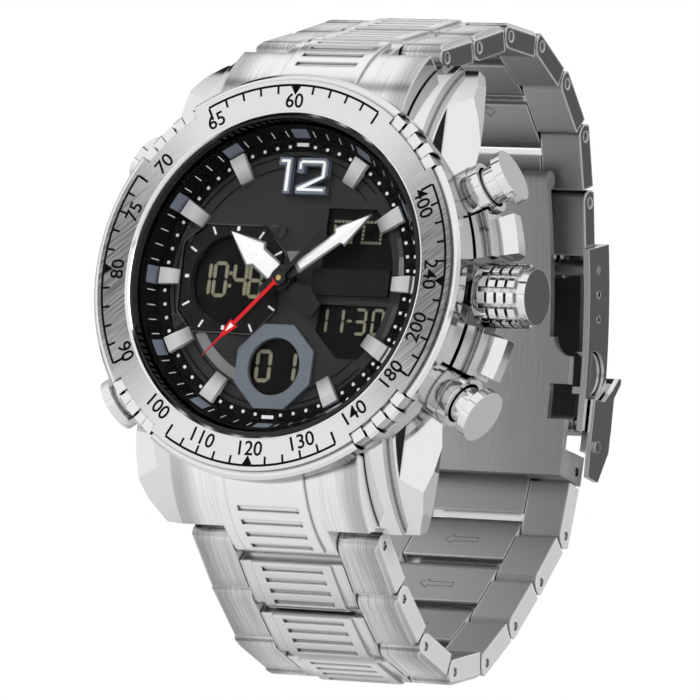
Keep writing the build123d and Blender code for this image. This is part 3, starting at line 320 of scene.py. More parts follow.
def link_group():
    """Camber, painted shade at the end, inside and flank of a link, from its centre and the way that it lies."""
    inputs = [("Vector", "NodeSocketVector", None), ("Normal", "NodeSocketVector", None),
              ("Centre", "NodeSocketVector", None), ("Along", "NodeSocketVector", None),
              ("Out", "NodeSocketVector", None), ("Half", "NodeSocketFloat", 0.004)]
    outputs = [(label, "NodeSocketFloat") for label in ("Camber", "End", "Inside", "Flank")]
    tree, source, result = new_group("link_parts", inputs, outputs)
    nodes, links = tree.nodes, tree.links
    offset = nodes.new("ShaderNodeVectorMath")
    offset.operation = "SUBTRACT"
    links.new(source.outputs["Vector"], offset.inputs[0])
    links.new(source.outputs["Centre"], offset.inputs[1])
    reach = dot(nodes, links, offset.outputs[0], source.outputs["Along"])
    part = math(nodes, links, "DIVIDE", reach, source.outputs["Half"])
    outward = dot(nodes, links, source.outputs["Normal"], source.outputs["Out"])
    flank = math(nodes, links, "ABSOLUTE", dot(nodes, links, source.outputs["Normal"], (1, 0, 0)))
    top = ramp(nodes, links, outward, 0.5, 0.8)
    bend = math(nodes, links, "MULTIPLY", part, part)
    camber = math(nodes, links, "MULTIPLY", bend, math(nodes, links, "MULTIPLY", source.outputs["Half"], -0.16))
    links.new(math(nodes, links, "MULTIPLY", camber, top), result.inputs["Camber"])
    end = math(nodes, links, "MULTIPLY", ramp(nodes, links, part, 0.25, 1.1), top)
    links.new(end, result.inputs["End"])
    links.new(ramp(nodes, links, outward, -0.3, -0.6), result.inputs["Inside"])
    links.new(ramp(nodes, links, flank, 0.6, 0.9), result.inputs["Flank"])
    return tree


STREAKS = streak_group()
ALONG = along_group()
LINK_PARTS = link_group()


# %% [markdown]
# Every finish starts from the same shader. Small values do much of the work on metal: a roughness that
# wavers a little keeps a polished face from looking like a mirror in a drawing, and a Bevel node rounds
# the light on each edge by a tenth of a millimetre, as polishing does. Seams between pieces get painted
# shade in their colour, where an Ambient Occlusion node finds them, and rounded edges get a painted
# highlight that makes them a little paler.


# %% Finishes
def start_material(name, color, roughness, metallic=0.0, shine=0.5):
    material = bpy.data.materials.new(name)
    material.use_nodes = True
    nodes = material.node_tree.nodes
    shader = nodes["Principled BSDF"]
    shader.inputs["Base Color"].default_value = (*color, 1)
    shader.inputs["Roughness"].default_value = roughness
    shader.inputs["Metallic"].default_value = metallic
    shader.inputs["Specular IOR Level"].default_value = shine
    place = nodes.new("ShaderNodeTexCoord")
    return material, nodes, material.node_tree.links, shader, place.outputs["Object"]


def waver(nodes, links, place, low, high, scale):
    """A value that changes softly over the surface."""
    noise = nodes.new("ShaderNodeTexNoise")
    noise.inputs["Scale"].default_value = scale
    links.new(place, noise.inputs["Vector"])
    spread = nodes.new("ShaderNodeMapRange")
    spread.inputs["To Min"].default_value = low
    spread.inputs["To Max"].default_value = high
    links.new(noise.outputs["Fac"], spread.inputs["Value"])
    return spread.outputs["Result"]


def soft_edges(nodes, radius):
    bevel = nodes.new("ShaderNodeBevel")
    bevel.samples = 4
    bevel.inputs["Radius"].default_value = radius
    return bevel.outputs["Normal"]


def painted_seam_shade(nodes, links, color, reach=0.0006):
    """Painted shade: the colour, darkened where another surface stands closer than the reach."""
    near = nodes.new("ShaderNodeAmbientOcclusion")
    near.samples = 8
    near.inputs["Distance"].default_value = reach
    open_air = ramp(nodes, links, near.outputs["AO"], 0.25, 0.9)
    return blend(nodes, links, open_air, (0.015, 0.015, 0.016), color)


def painted_edge_highlight(nodes, links, color, normal, pale):
    """A painted highlight: the colour, paler where the rounded normal leaves the flat one."""
    flat = nodes.new("ShaderNodeNewGeometry").outputs["Normal"]
    bent = math(nodes, links, "SUBTRACT", 1.0, dot(nodes, links, normal, flat))
    return blend(nodes, links, ramp(nodes, links, bent, 0.01, 0.12), color, (pale, pale, pale))


def painted_grazing_shade(nodes, links, color, most=0.8, grey=0.1):
    """Painted shade: the colour, darker on faces that turn away from the view, where steel mirrors dark corners.
    """
    view = nodes.new("ShaderNodeLayerWeight")
    view.inputs["Blend"].default_value = 0.5
    away = ramp(nodes, links, view.outputs["Facing"], 0.3, 0.88, 0, most)
    return blend(nodes, links, away, color, (grey, grey, grey))


def scratches(nodes, links, place, streak, density=9000.0):
    group = nodes.new("ShaderNodeGroup")
    group.node_tree = STREAKS
    group.inputs["Turn"].default_value = streak[0]
    group.inputs["Squeeze"].default_value = streak[1]
    group.inputs["Density"].default_value = density
    links.new(place, group.inputs["Vector"])
    return group.outputs["Height"]


def bumped(nodes, links, height, normal, strength, distance):
    bump = nodes.new("ShaderNodeBump")
    bump.inputs["Strength"].default_value = strength
    bump.inputs["Distance"].default_value = distance
    put(links, height, bump.inputs["Height"])
    put(links, normal, bump.inputs["Normal"])
    return bump.outputs["Normal"]


def steel(name, low, high, streak=None, depth=0.0, grey=0.72, tint=(1, 1, 1.01), away=0.0):
    """Polished steel, or brushed where streak gives the turn and squeeze of its scratches."""
    base = tuple(grey * part for part in tint)
    material, nodes, links, shader, place = start_material(name, base, low, 1.0)
    links.new(waver(nodes, links, place, low, high, 260), shader.inputs["Roughness"])
    normal = soft_edges(nodes, 0.00009)
    # Painted highlight: the colour is paler on the rounded edges.
    color = painted_edge_highlight(nodes, links, base, normal, min(grey * 1.25, 0.95))
    if streak:
        height = scratches(nodes, links, place, streak)
        shade = ramp(nodes, links, height, 0.3, 0.7)
        color = blend(nodes, links, shade, tuple(0.86 * part for part in base), color)
        normal = bumped(nodes, links, height, normal, depth, 0.00002)
    # Painted shade: darker colour on faces that turn away from the view, where away is set.
    if away:
        color = painted_grazing_shade(nodes, links, color, away)
    # Painted shade in the seams, where another surface stands close.
    links.new(painted_seam_shade(nodes, links, color), shader.inputs["Base Color"])
    links.new(normal, shader.inputs["Normal"])
    return material


def enamel(name, color, roughness, grain=0.03, shine=0.5):
    """Paint or moulded plastic with a fine grain."""
    material, nodes, links, shader, place = start_material(name, color, roughness, shine=shine)
    links.new(waver(nodes, links, place, roughness - grain, roughness + grain, 900), shader.inputs["Roughness"])
    speck = waver(nodes, links, place, 0.0, 1.0, 2500)
    paler = tuple(min(1, part * 1.12 + 0.0008) for part in color)
    links.new(blend(nodes, links, speck, color, paler), shader.inputs["Base Color"])
    noise = nodes.new("ShaderNodeTexNoise")
    noise.inputs["Scale"].default_value = 6000
    links.new(place, noise.inputs["Vector"])
    links.new(bumped(nodes, links, noise.outputs["Fac"], None, 0.12, 0.00001), shader.inputs["Normal"])
    return material


LENGTHWISE = ((0, 0, 0), (1.0, 0.02, 0.02))
polished = steel("polished_steel", 0.05, 0.11, grey=0.80, away=0.85)
satin_steel = steel("satin_steel", 0.38, 0.46, LENGTHWISE, 0.15, 0.46)
black_enamel = enamel("black_enamel", (0.006, 0.006, 0.006), 0.35, shine=0.3)
dial_black = enamel("dial_black", (0.0012, 0.0012, 0.0012), 0.5, shine=0.04)
dial_grey = enamel("dial_grey", (0.022, 0.022, 0.023), 0.5, shine=0.1)
plate_grey = enamel("plate_grey", (0.0055, 0.0055, 0.006), 0.45, shine=0.08)
band_grey = enamel("band_grey", (0.17, 0.175, 0.18), 0.45, shine=0.2)
ring_blue_grey = enamel("ring_blue_grey", (0.128, 0.147, 0.168), 0.4, shine=0.15)
block_blue_grey = enamel("block_blue_grey", (0.14, 0.16, 0.20), 0.45, shine=0.2)
print_white = enamel("print_white", (0.80, 0.80, 0.80), 0.5, shine=0.2)
fill_white = enamel("fill_white", (0.84, 0.84, 0.83), 0.4, shine=0.2)
hairline_grey = enamel("hairline_grey", (0.10, 0.10, 0.10), 0.4, shine=0.2)
shade_grey = enamel("shade_grey", (0.05, 0.05, 0.05), 0.45, shine=0.15)
arrow_grey = enamel("arrow_grey", (0.12, 0.12, 0.12), 0.4, shine=0.2)
brass_paint = enamel("brass_paint", (0.42, 0.30, 0.11), 0.35)
scale_black = enamel("scale_black", (0.003, 0.003, 0.003), 0.6, shine=0.05)
lcd_black = enamel("display_black", (0.002, 0.002, 0.0018), 0.25, shine=0.06)
lcd_light = enamel("display_segment", (0.23, 0.22, 0.15), 0.4, shine=0.1)
board_green = enamel("board_green", (0.03, 0.16, 0.07), 0.4)
plastic_white = enamel("moulded_white", (0.68, 0.68, 0.65), 0.45)
rubber_black = enamel("rubber_black", (0.02, 0.02, 0.02), 0.75, shine=0.2)
brass = steel("brass", 0.2, 0.3, LENGTHWISE, 0.1, 0.78, (1, 0.74, 0.33))
copper = steel("copper_wire", 0.25, 0.35, LENGTHWISE, 0.3, 0.72, (1, 0.5, 0.25))

# %% [markdown]
# The bezel's plate is brushed in one slanting direction. Such a face is pale where the scratches lie
# square to the light, at 12 and 6 o'clock, and grey at 3 and 9, and this sheen is painted into its colour
# by the angle on the dial. The hour markers are silvered metal with painted shade that darkens them
# towards the dial's centre.


# %% Bezel plate and markers
def bezel_finish():
    grey = 0.36
    material, nodes, links, shader, place = start_material("bezel_brushed", (grey, grey, grey), 0.3, 1.0)
    links.new(waver(nodes, links, place, 0.22, 0.34, 400), shader.inputs["Roughness"])
    split = nodes.new("ShaderNodeSeparateXYZ")
    links.new(place, split.inputs[0])
    across = math(nodes, links, "ABSOLUTE", split.outputs["X"])
    high = math(nodes, links, "ABSOLUTE", split.outputs["Z"])
    angle = math(nodes, links, "ARCTAN2", high, across)
    # Painted sheen: the colour is pale at 12 and 6 o'clock and grey at 3 and 9, by the angle on the dial.
    pale = ramp(nodes, links, angle, radians(8), radians(62))
    height = scratches(nodes, links, place, ((0, radians(-50), 0), (1.0, 1.0, 0.03)), 5200)
    low = blend(nodes, links, ramp(nodes, links, height, 0.35, 0.65), (0.13, 0.13, 0.13), (0.33, 0.33, 0.33))
    color = blend(nodes, links, pale, low, (0.76, 0.76, 0.76))
    # Painted shade in the seams, where another surface stands close.
    links.new(painted_seam_shade(nodes, links, color), shader.inputs["Base Color"])
    normal = bumped(nodes, links, height, soft_edges(nodes, 0.00008), 0.3, 0.00002)
    links.new(normal, shader.inputs["Normal"])
    return material


def marker_finish():
    material, nodes, links, shader, place = start_material("silvered_marker", (0.7, 0.7, 0.7), 0.3, 0.0, 0.3)
    flat = nodes.new("ShaderNodeVectorMath")
    flat.operation = "MULTIPLY"
    flat.inputs[1].default_value = (1, 0, 1)
    links.new(place, flat.inputs[0])
    reach = nodes.new("ShaderNodeVectorMath")
    reach.operation = "LENGTH"
    links.new(flat.outputs[0], reach.inputs[0])
    # Painted shade: the marker's colour darkens towards the dial's centre.
    shade = ramp(nodes, links, reach.outputs["Value"], 0.0118, 0.0150)
    links.new(blend(nodes, links, shade, (0.09, 0.09, 0.09), (0.55, 0.55, 0.55)), shader.inputs["Base Color"])
    links.new(waver(nodes, links, place, 0.25, 0.35, 800), shader.inputs["Roughness"])
    links.new(soft_edges(nodes, 0.00012), shader.inputs["Normal"])
    return material


bezel_brushed = bezel_finish()
silvered = marker_finish()

# %% [markdown]
# A bracelet's link is rounded a little along its length, brushed outside, polished on its flanks and
# left satin inside. Its colour also carries painted shade: darker towards its ends and its outer sides,
# on its flanks lower down, and inside, where the satin's darker grey is partly painted shade. The pieces
# lie all round the wrist, so each link's own direction is measured on its mesh: the longer axis of its
# outline, seen from the side, is the way along the bracelet.

# %% Links
WRIST = Vector((0, 0.016, 0))


def lie_of(node):
    """Centre, direction along the bracelet, direction outwards and half length of a link."""
    points = [(v.co.y, v.co.z) for v in node.data.vertices]
    y = sum(p[0] for p in points) / len(points)
    z = sum(p[1] for p in points) / len(points)
    yy = sum((p[0] - y) ** 2 for p in points)
    zz = sum((p[1] - z) ** 2 for p in points)
    yz = sum((p[0] - y) * (p[1] - z) for p in points)
    angle = 0.5 * atan2(2 * yz, yy - zz)
    along = Vector((0, cos(angle), sin(angle)))
    centre = Vector((0, y, z))
    out = Vector((0, -along.z, along.y))
    if out.dot(centre - WRIST) < 0:
        out.negate()
    if along.y < 0:
        along.negate()
    half = max(abs((v.co - centre).dot(along)) for v in node.data.vertices)
    return centre, along, out, half


def link_finish(node):
    centre, along, out, half = lie_of(node)
    end_link = node.name.startswith("end_link")
    material, nodes, links, shader, place = start_material(node.name + "_steel", (0.6, 0.6, 0.6), 0.25, 1.0)
    group = nodes.new("ShaderNodeGroup")
    group.node_tree = LINK_PARTS
    source = nodes.new("ShaderNodeTexCoord")
    values = {"Vector": place, "Normal": source.outputs["Normal"], "Centre": centre, "Along": along,
              "Out": out, "Half": half}
    for label, value in values.items():
        put(links, value, group.inputs[label])
    height = scratches(nodes, links, place, LENGTHWISE, 7000)
    dark, pale = ((0.78, 0.78, 0.78), (0.93, 0.93, 0.93)) if end_link else ((0.5, 0.5, 0.5), (0.72, 0.72, 0.72))
    brushed = blend(nodes, links, ramp(nodes, links, height, 0.35, 0.65), dark, pale)
    split = nodes.new("ShaderNodeSeparateXYZ")
    links.new(place, split.inputs[0])
    side = math(nodes, links, "ABSOLUTE", split.outputs["X"])
    middle = ramp(nodes, links, side, 0.0062, 0.0066)
    # Painted shade: the colour darkens towards the link's outer sides.
    rim = ramp(nodes, links, side, 0.0085, 0.0112)
    # Painted shade at the link's ends, weaker on the middle piece.
    end_shade = math(nodes, links, "MULTIPLY", group.outputs["End"], ramp(nodes, links, side, 0.0062, 0.0066, 0.35, 1))
    color = blend(nodes, links, middle, (0.9, 0.9, 0.91) if end_link else (0.76, 0.76, 0.77), brushed)
    color = blend(nodes, links, math(nodes, links, "MULTIPLY", rim, 0.55), color, (0.2, 0.2, 0.2))
    if not end_link:
        color = blend(nodes, links, end_shade, color, (0.07, 0.07, 0.07))
    # Painted shade: the flanks are darker, and less metallic, lower down.
    low = ramp(nodes, links, split.outputs["Z"], -0.004, -0.014)
    flank = blend(nodes, links, low, (0.5, 0.5, 0.51), (0.74, 0.74, 0.75))
    color = blend(nodes, links, group.outputs["Flank"], color, flank)
    matt = math(nodes, links, "MULTIPLY", low, group.outputs["Flank"])
    links.new(ramp(nodes, links, matt, 0, 1, 1, 0.15), shader.inputs["Metallic"])
    # The inside is satin, and its darker grey is partly painted shade.
    color = blend(nodes, links, group.outputs["Inside"], color, (0.4, 0.4, 0.4))
    normal = soft_edges(nodes, 0.0004)
    # Painted highlight on the rounded edges, then painted shade in the seams.
    color = painted_edge_highlight(nodes, links, color, normal, 0.85)
    links.new(painted_seam_shade(nodes, links, color), shader.inputs["Base Color"])
    rough = ramp(nodes, links, group.outputs["Flank"], 0, 1, 0.24, 0.12)
    rough = math(nodes, links, "ADD", rough, ramp(nodes, links, group.outputs["Inside"], 0, 1, 0, 0.2))
    links.new(rough, shader.inputs["Roughness"])
    normal = bumped(nodes, links, height, normal, 0.25, 0.00002)
    links.new(bumped(nodes, links, group.outputs["Camber"], normal, 1.0, 1.0), shader.inputs["Normal"])
    print(node.name, "lies at", round(degrees(atan2(along.z, along.y)), 1), "degrees")
    return material


# %% [markdown]
# The glass is clear and coated against glare, so it mirrors far less than bare glass, which a low index
# of refraction gives. Light that comes through glass is slow to trace, so shadow rays pass it as if it
# were air, and the dial below gets its full light.


# %% Glass
def clear_glass():
    material, nodes, links, shader, place = start_material("clear_glass", (1, 1, 1), 0.0)
    shader.inputs["Transmission Weight"].default_value = 1.0
    shader.inputs["IOR"].default_value = 1.08
    through = nodes.new("ShaderNodeBsdfTransparent")
    path = nodes.new("ShaderNodeLightPath")
    passing = nodes.new("ShaderNodeMath")
    passing.operation = "MAXIMUM"
    mix = nodes.new("ShaderNodeMixShader")
    links.new(path.outputs["Is Shadow Ray"], passing.inputs[0])
    links.new(path.outputs["Is Diffuse Ray"], passing.inputs[1])
    links.new(passing.outputs[0], mix.inputs["Fac"])
    links.new(shader.outputs[0], mix.inputs[1])
    links.new(through.outputs[0], mix.inputs[2])
    links.new(mix.outputs[0], nodes["Material Output"].inputs["Surface"])
    smear = nodes.new("ShaderNodeTexNoise")
    smear.inputs["Scale"].default_value = 120
    links.new(place, smear.inputs["Vector"])
    faint = nodes.new("ShaderNodeMapRange")
    faint.inputs["To Max"].default_value = 0.01
    links.new(smear.outputs["Fac"], faint.inputs["Value"])
    links.new(faint.outputs["Result"], shader.inputs["Roughness"])
    return material


glass_clear = clear_glass()

# %% [markdown]
# The second hand is red from its centre to its tip and black on its tail, and the other two are grey
# metal round their white arrows and black behind. The paint changes along the hand, so one finish mixes
# two colours by the distance along the hand's own direction.


# %% Two-colour hand
def hand_direction(angle):
    """Direction of a hand, in the watch's frame, from its angle clockwise from 12 o'clock."""
    return Vector((sin(radians(angle)), 0, cos(radians(angle))))


HOUR_ANGLE, MINUTE_ANGLE, SECOND_ANGLE = 306, 54, 223
SECOND_TOP = 13.2
PIN_TOP = 13.28


def two_colour(name, angle, tail, front, edge):
    material, nodes, links, shader, place = start_material(name, front, 0.35, shine=0.2)
    links.new(waver(nodes, links, place, 0.3, 0.4, 700), shader.inputs["Roughness"])
    group = nodes.new("ShaderNodeGroup")
    group.node_tree = ALONG
    group.inputs["Direction"].default_value = hand_direction(angle)
    links.new(place, group.inputs["Vector"])
    step = nodes.new("ShaderNodeMath")
    step.operation = "GREATER_THAN"
    step.inputs[1].default_value = edge * MM
    links.new(group.outputs["Distance"], step.inputs[0])
    mix = nodes.new("ShaderNodeMix")
    mix.data_type = "RGBA"
    links.new(step.outputs[0], mix.inputs["Factor"])
    mix.inputs[6].default_value = (*tail, 1)
    mix.inputs[7].default_value = (*front, 1)
    links.new(mix.outputs[2], shader.inputs["Base Color"])
    return material


BLACK = (0.004, 0.004, 0.004)
red_hand = two_colour("red_hand", SECOND_ANGLE, BLACK, (0.60, 0.012, 0.014), 0.6)
hour_metal = two_colour("hour_hand_metal", HOUR_ANGLE, BLACK, (0.2, 0.2, 0.2), 1.5)
minute_metal = two_colour("minute_hand_metal", MINUTE_ANGLE, BLACK, (0.2, 0.2, 0.2), 2.2)

# %% [markdown]
# Each solid gets the finish of the real piece. What isn't in this list is polished steel.

# %% Finishes of the solids
FINISH = {
    "bezel_plate": bezel_brushed, "case_back": satin_steel, "glass": glass_clear,
    "glass_gasket": rubber_black, "back_gasket": rubber_black, "crown_gasket": rubber_black,
    "chapter_ring": dial_black, "dial_plate": dial_grey, "minute_track": dial_black,
    "subdial_plates": plate_grey, "mode_ring": ring_blue_grey, "dial_screws": black_enamel,
    "lcd_cell": lcd_black, "circuit_board": board_green, "movement_holder": plastic_white,
    "main_plate": brass, "gear_train": brass, "battery": satin_steel, "stepper_coil": copper,
    "hour_hand": hour_metal, "minute_hand": minute_metal, "second_hand": red_hand,
    "clasp_inner_blade": satin_steel, "clasp_middle_blade": satin_steel, "hour_markers": silvered,
    "numeral_twelve": block_blue_grey,
    "pusher_springs": satin_steel, "clasp_spring_bar": satin_steel, "lug_spring_bars": satin_steel,
}
for name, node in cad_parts.items():
    finish = FINISH.get(name) or (link_finish(node) if name.startswith(("link_", "end_link")) else polished)
    node.data.materials.clear()
    node.data.materials.append(finish)

# %% [markdown]
# Ticks, dots and blocks stand in rings all over a watch face. One Geometry Nodes tree makes any such
# ring: it lays out points by their number, puts a small box on each, and turns and tilts it. Its inputs
# are the sizes, so every ring on this watch is the same tree with other numbers.

# %% Ring of blocks
RING_INPUTS = [
    ("Count", "NodeSocketInt"), ("Radius", "NodeSocketFloat"), ("First", "NodeSocketFloat"),
    ("Step", "NodeSocketFloat"), ("Height", "NodeSocketFloat"), ("Tilt", "NodeSocketFloat"),
    ("Size", "NodeSocketVector"), ("Material", "NodeSocketMaterial"),
]


def ring_tree():
    tree = bpy.data.node_groups.new("ring_of_blocks", "GeometryNodeTree")
    for label, kind in RING_INPUTS:
        tree.interface.new_socket(label, in_out="INPUT", socket_type=kind)
    tree.interface.new_socket("Geometry", in_out="OUTPUT", socket_type="NodeSocketGeometry")
    nodes, links = tree.nodes, tree.links
    source, result = nodes.new("NodeGroupInput"), nodes.new("NodeGroupOutput")

    index = nodes.new("GeometryNodeInputIndex").outputs[0]
    turned_by = math(nodes, links, "MULTIPLY", index, source.outputs["Step"])
    angle = math(nodes, links, "ADD", turned_by, source.outputs["First"])
    place = nodes.new("ShaderNodeCombineXYZ")
    for way, label in (("COSINE", "X"), ("SINE", "Y")):
        unit = math(nodes, links, way, angle)
        links.new(math(nodes, links, "MULTIPLY", unit, source.outputs["Radius"]), place.inputs[label])
    links.new(source.outputs["Height"], place.inputs["Z"])
    points = nodes.new("GeometryNodePoints")
    links.new(source.outputs["Count"], points.inputs["Count"])
    links.new(place.outputs[0], points.inputs["Position"])
    box = nodes.new("GeometryNodeMeshCube")
    links.new(source.outputs["Size"], box.inputs["Size"])
    turned = nodes.new("ShaderNodeCombineXYZ")
    links.new(source.outputs["Tilt"], turned.inputs["Y"])
    links.new(angle, turned.inputs["Z"])
    spread = nodes.new("GeometryNodeInstanceOnPoints")
    links.new(points.outputs[0], spread.inputs["Points"])
    links.new(box.outputs["Mesh"], spread.inputs["Instance"])
    links.new(turned.outputs[0], spread.inputs["Rotation"])
    real = nodes.new("GeometryNodeRealizeInstances")
    paint = nodes.new("GeometryNodeSetMaterial")
    links.new(spread.outputs[0], real.inputs[0])
    links.new(real.outputs[0], paint.inputs["Geometry"])
    links.new(source.outputs["Material"], paint.inputs["Material"])
    links.new(paint.outputs[0], result.inputs["Geometry"])
    return tree


RING = ring_tree()
SOCKETS = {item.name: item.identifier for item in RING.interface.items_tree if item.in_out == "INPUT"}


def ring_mesh(count, radius, first, step, height, size, material, tilt=0.0):
    carrier = bpy.data.objects.new("carrier", bpy.data.meshes.new("carrier"))
    bpy.context.scene.collection.objects.link(carrier)
    modifier = carrier.modifiers.new("ring", "NODES")
    modifier.node_group = RING
    values = {"Count": count, "Radius": radius, "First": radians(first), "Step": radians(step),
              "Height": height, "Size": size, "Tilt": radians(tilt), "Material": material}
    for label, value in values.items():
        modifier[SOCKETS[label]] = value
    graph = bpy.context.evaluated_depsgraph_get()
    mesh = bpy.data.meshes.new_from_object(carrier.evaluated_get(graph))
    carrier.modifiers.remove(modifier)
    bpy.data.objects.remove(carrier)
    return mesh


def ring_of_blocks(name, material, *sizes, tilt=0.0, slot="black_dial"):
    mesh = ring_mesh(*sizes, material, tilt)
    print(name, "faces:", len(mesh.polygons))
    return add_object(name, mesh, material)


# %% [markdown]
# Flat prints with their own outline, such as arcs, triangles and digits, are drawn as polygons and given
# a thickness of a few hundredths of a millimetre, so that they are real shapes that catch the light.


# %% Flat prints
def flat_mesh(outlines, low, high):
    """Prisms from outlines in the dial's drawing, as one mesh."""
    made = bmesh.new()
    for outline in outlines:
        lower = [made.verts.new((x, y, low)) for x, y in outline]
        upper = [made.verts.new((x, y, high)) for x, y in outline]
        made.faces.new(upper)
        made.faces.new(lower[::-1])
        for number in range(len(outline)):
            after = (number + 1) % len(outline)
            made.faces.new((lower[number], lower[after], upper[after], upper[number]))
    bmesh.ops.recalc_face_normals(made, faces=made.faces[:])
    mesh = bpy.data.meshes.new("flat")
    made.to_mesh(mesh)
    made.free()
    return mesh


def arc_quads(inner, outer, first, last, steps):
    """A curved band as short four-sided pieces."""
    angles = [first + (last - first) * n / steps for n in range(steps + 1)]
    return [[polar(inner, a), polar(outer, a), polar(outer, b), polar(inner, b)]
            for a, b in zip(angles, angles[1:])]


def lettering(text, size, radius, angle, turn, height, thickness, name, material):
    """A number that stands at an angle on a circle, turned to the way it is read."""
    curve = bpy.data.curves.new(name, "FONT")
    curve.body = text
    curve.size = size
    curve.align_x, curve.align_y = "CENTER", "CENTER"
    curve.extrude = thickness / 2
    curve.offset = 0.008 * size
    carrier = bpy.data.objects.new(name + "_carrier", curve)
    bpy.context.scene.collection.objects.link(carrier)
    graph = bpy.context.evaluated_depsgraph_get()
    mesh = bpy.data.meshes.new_from_object(carrier.evaluated_get(graph))
    bpy.data.objects.remove(carrier)
    x, y = polar(radius, angle)
    mesh.transform(Matrix.Translation((x, y, height)) @ Matrix.Rotation(radians(turn), 4, "Z"))
    return add_object(name, mesh, material)


# %% [markdown]
# The bezel carries a speed scale in four arcs, with a tick each 6 degrees and a triangle at each quarter.
# The numbers of the upper half are read from inside, those of the lower half from outside.

# %% Bezel scale
PRINT = 0.03
ARC_OUTER, ARC_INNER = 21.85, 21.6
TICK_LENGTH = 0.85
scale_parts = []
for quarter in range(4):
    scale_parts += arc_quads(ARC_INNER, ARC_OUTER, 90 * quarter - 30, 90 * quarter + 30, 24)
    base = ARC_INNER - 1.2 * TICK_LENGTH
    scale_parts.append([polar(base, 90 * quarter), polar(ARC_INNER, 90 * quarter - 1.6),
                        polar(ARC_INNER, 90 * quarter + 1.6)])
add_object("scale_arcs", flat_mesh(scale_parts, PLATE_TOP, PLATE_TOP + PRINT), scale_black)
for quarter in range(4):
    ring_of_blocks(f"scale_ticks_{quarter}", scale_black, 11, ARC_INNER - TICK_LENGTH / 2,
                   90 * quarter - 30, 6, PLATE_TOP + PRINT / 2, (TICK_LENGTH, 0.24, PRINT))
    ring_of_blocks(f"scale_ends_{quarter}", scale_black, 2, ARC_INNER - 0.7,
                   90 * quarter - 30, 60, PLATE_TOP + PRINT / 2, (1.4, 0.26, PRINT))
OUTWARD = {"60": 90, "65": 119, "70": 142, "75": 160.5, "80": 180, "240": 2, "400": 25.7}
INWARD = {"90": -151.6, "100": -128.6, "110": -108.2, "120": -90, "130": -71, "140": -50.5,
          "180": -33, "200": -15.6}
for table, way in ((OUTWARD, -90), (INWARD, 90)):
    for text, angle in table.items():
        lettering(text, 2.3, 19.85, angle, angle + way, PLATE_TOP + PRINT / 2, PRINT,
                  f"scale_number_{text}", scale_black)

# %% [markdown]
# The black cone round the dial has a thin white tick for each minute and a blue-grey block at each hour.
# They lie on its slope, so the ring of blocks is tilted by the cone's own angle.

# %% Cone marks
CONE_LOW = (16.3, 11.55)
CONE_HIGH = (17.15, 13.25)
slope = degrees(atan2(CONE_HIGH[1] - CONE_LOW[1], CONE_HIGH[0] - CONE_LOW[0]))
length = hypot(CONE_HIGH[1] - CONE_LOW[1], CONE_HIGH[0] - CONE_LOW[0])
middle = ((CONE_LOW[0] + CONE_HIGH[0]) / 2, (CONE_LOW[1] + CONE_HIGH[1]) / 2)
ring_of_blocks("cone_ticks", print_white, 60, middle[0], 0, 6, middle[1], (length * 0.55, 0.09, 0.05),
               tilt=-slope)
ring_of_blocks("cone_blocks", block_blue_grey, 12, middle[0], 0, 30, middle[1], (length * 0.8, 2.0, 0.09),
               tilt=-slope)

# %% [markdown]
# The black track has a white dot for each minute between the hour markers, and a longer pill at 12 and 6.

# %% Minute dots
DOT_RADIUS = 15.4
for hour in range(12):
    ring_of_blocks(f"minute_dots_{hour}", print_white, 4, DOT_RADIUS, 30 * hour + 6, 6, OVERLAY_TOP + PRINT / 2,
                   (0.34, 0.34, PRINT))
ring_of_blocks("minute_pills", print_white, 2, 15.6, 90, 180, OVERLAY_TOP + PRINT / 2, (0.4, 1.5, PRINT))

# %% [markdown]
# Round the display's windows the dial has short ticks, dark grooves with a pale hairline beside them,
# which is a painted highlight on the plate's edge, and grey bands. A strip turns a line of points into
# such a print of a given width.


# %% Sub-dial prints
def strip(points, width):
    """A print of one width along a line of points."""
    quads = []
    for (x0, y0), (x1, y1) in zip(points, points[1:]):
        reach = hypot(x1 - x0, y1 - y0)
        across = ((y0 - y1) / reach * width / 2, (x1 - x0) / reach * width / 2)
        quads.append([(x0 + across[0], y0 + across[1]), (x0 - across[0], y0 - across[1]),
                      (x1 - across[0], y1 - across[1]), (x1 + across[0], y1 + across[1])])
    return quads


def radial(x, y, long, wide, centre=(-7.0, 0.0)):
    """A tick at a point, along the line from the sub-dial's centre."""
    reach = hypot(x - centre[0], y - centre[1])
    way = ((x - centre[0]) / reach * long / 2, (y - centre[1]) / reach * long / 2)
    return strip([(x - way[0], y - way[1]), (x + way[0], y + way[1])], wide)


ticks = []
for x, y in ((-6.84, 5.77), (-12.71, 0.15), (-7.26, -5.63)):
    ticks += radial(x, y, 0.5, 0.36)
for x, y in ((-9.88, 5.44), (-3.77, 5.07), (-1.34, 3.05), (-1.34, -3.22), (-3.71, -5.57), (-10.14, -5.25),
             (-12.39, -3.0), (-12.26, 3.24)):
    ticks += radial(x, y, 0.95, 0.22)
add_object("left_subdial_ticks", flat_mesh(ticks, OVERLAY_TOP, OVERLAY_TOP + PRINT), print_white)
LEFT_PLATE = [(-11.1, 6.08), (-13.55, 4.0), (-13.6, 2.2), (-13.35, -3.7), (-11.4, -6.0), (-3.45, -6.1),
              (-1.0, -3.55)]
LEFT_TOP = [(-11.1, 6.08), (-3.97, 6.02)]
LEFT_WING = [(-2.2, 4.75), (-0.78, 3.4), (-0.35, 2.6)]
grooves = strip(LEFT_PLATE, 0.2) + strip(LEFT_TOP, 0.2) + strip(LEFT_WING, 0.2)
add_object("plate_grooves", flat_mesh(grooves, DIAL_TOP, OVERLAY_TOP + PRINT / 3), dial_black)
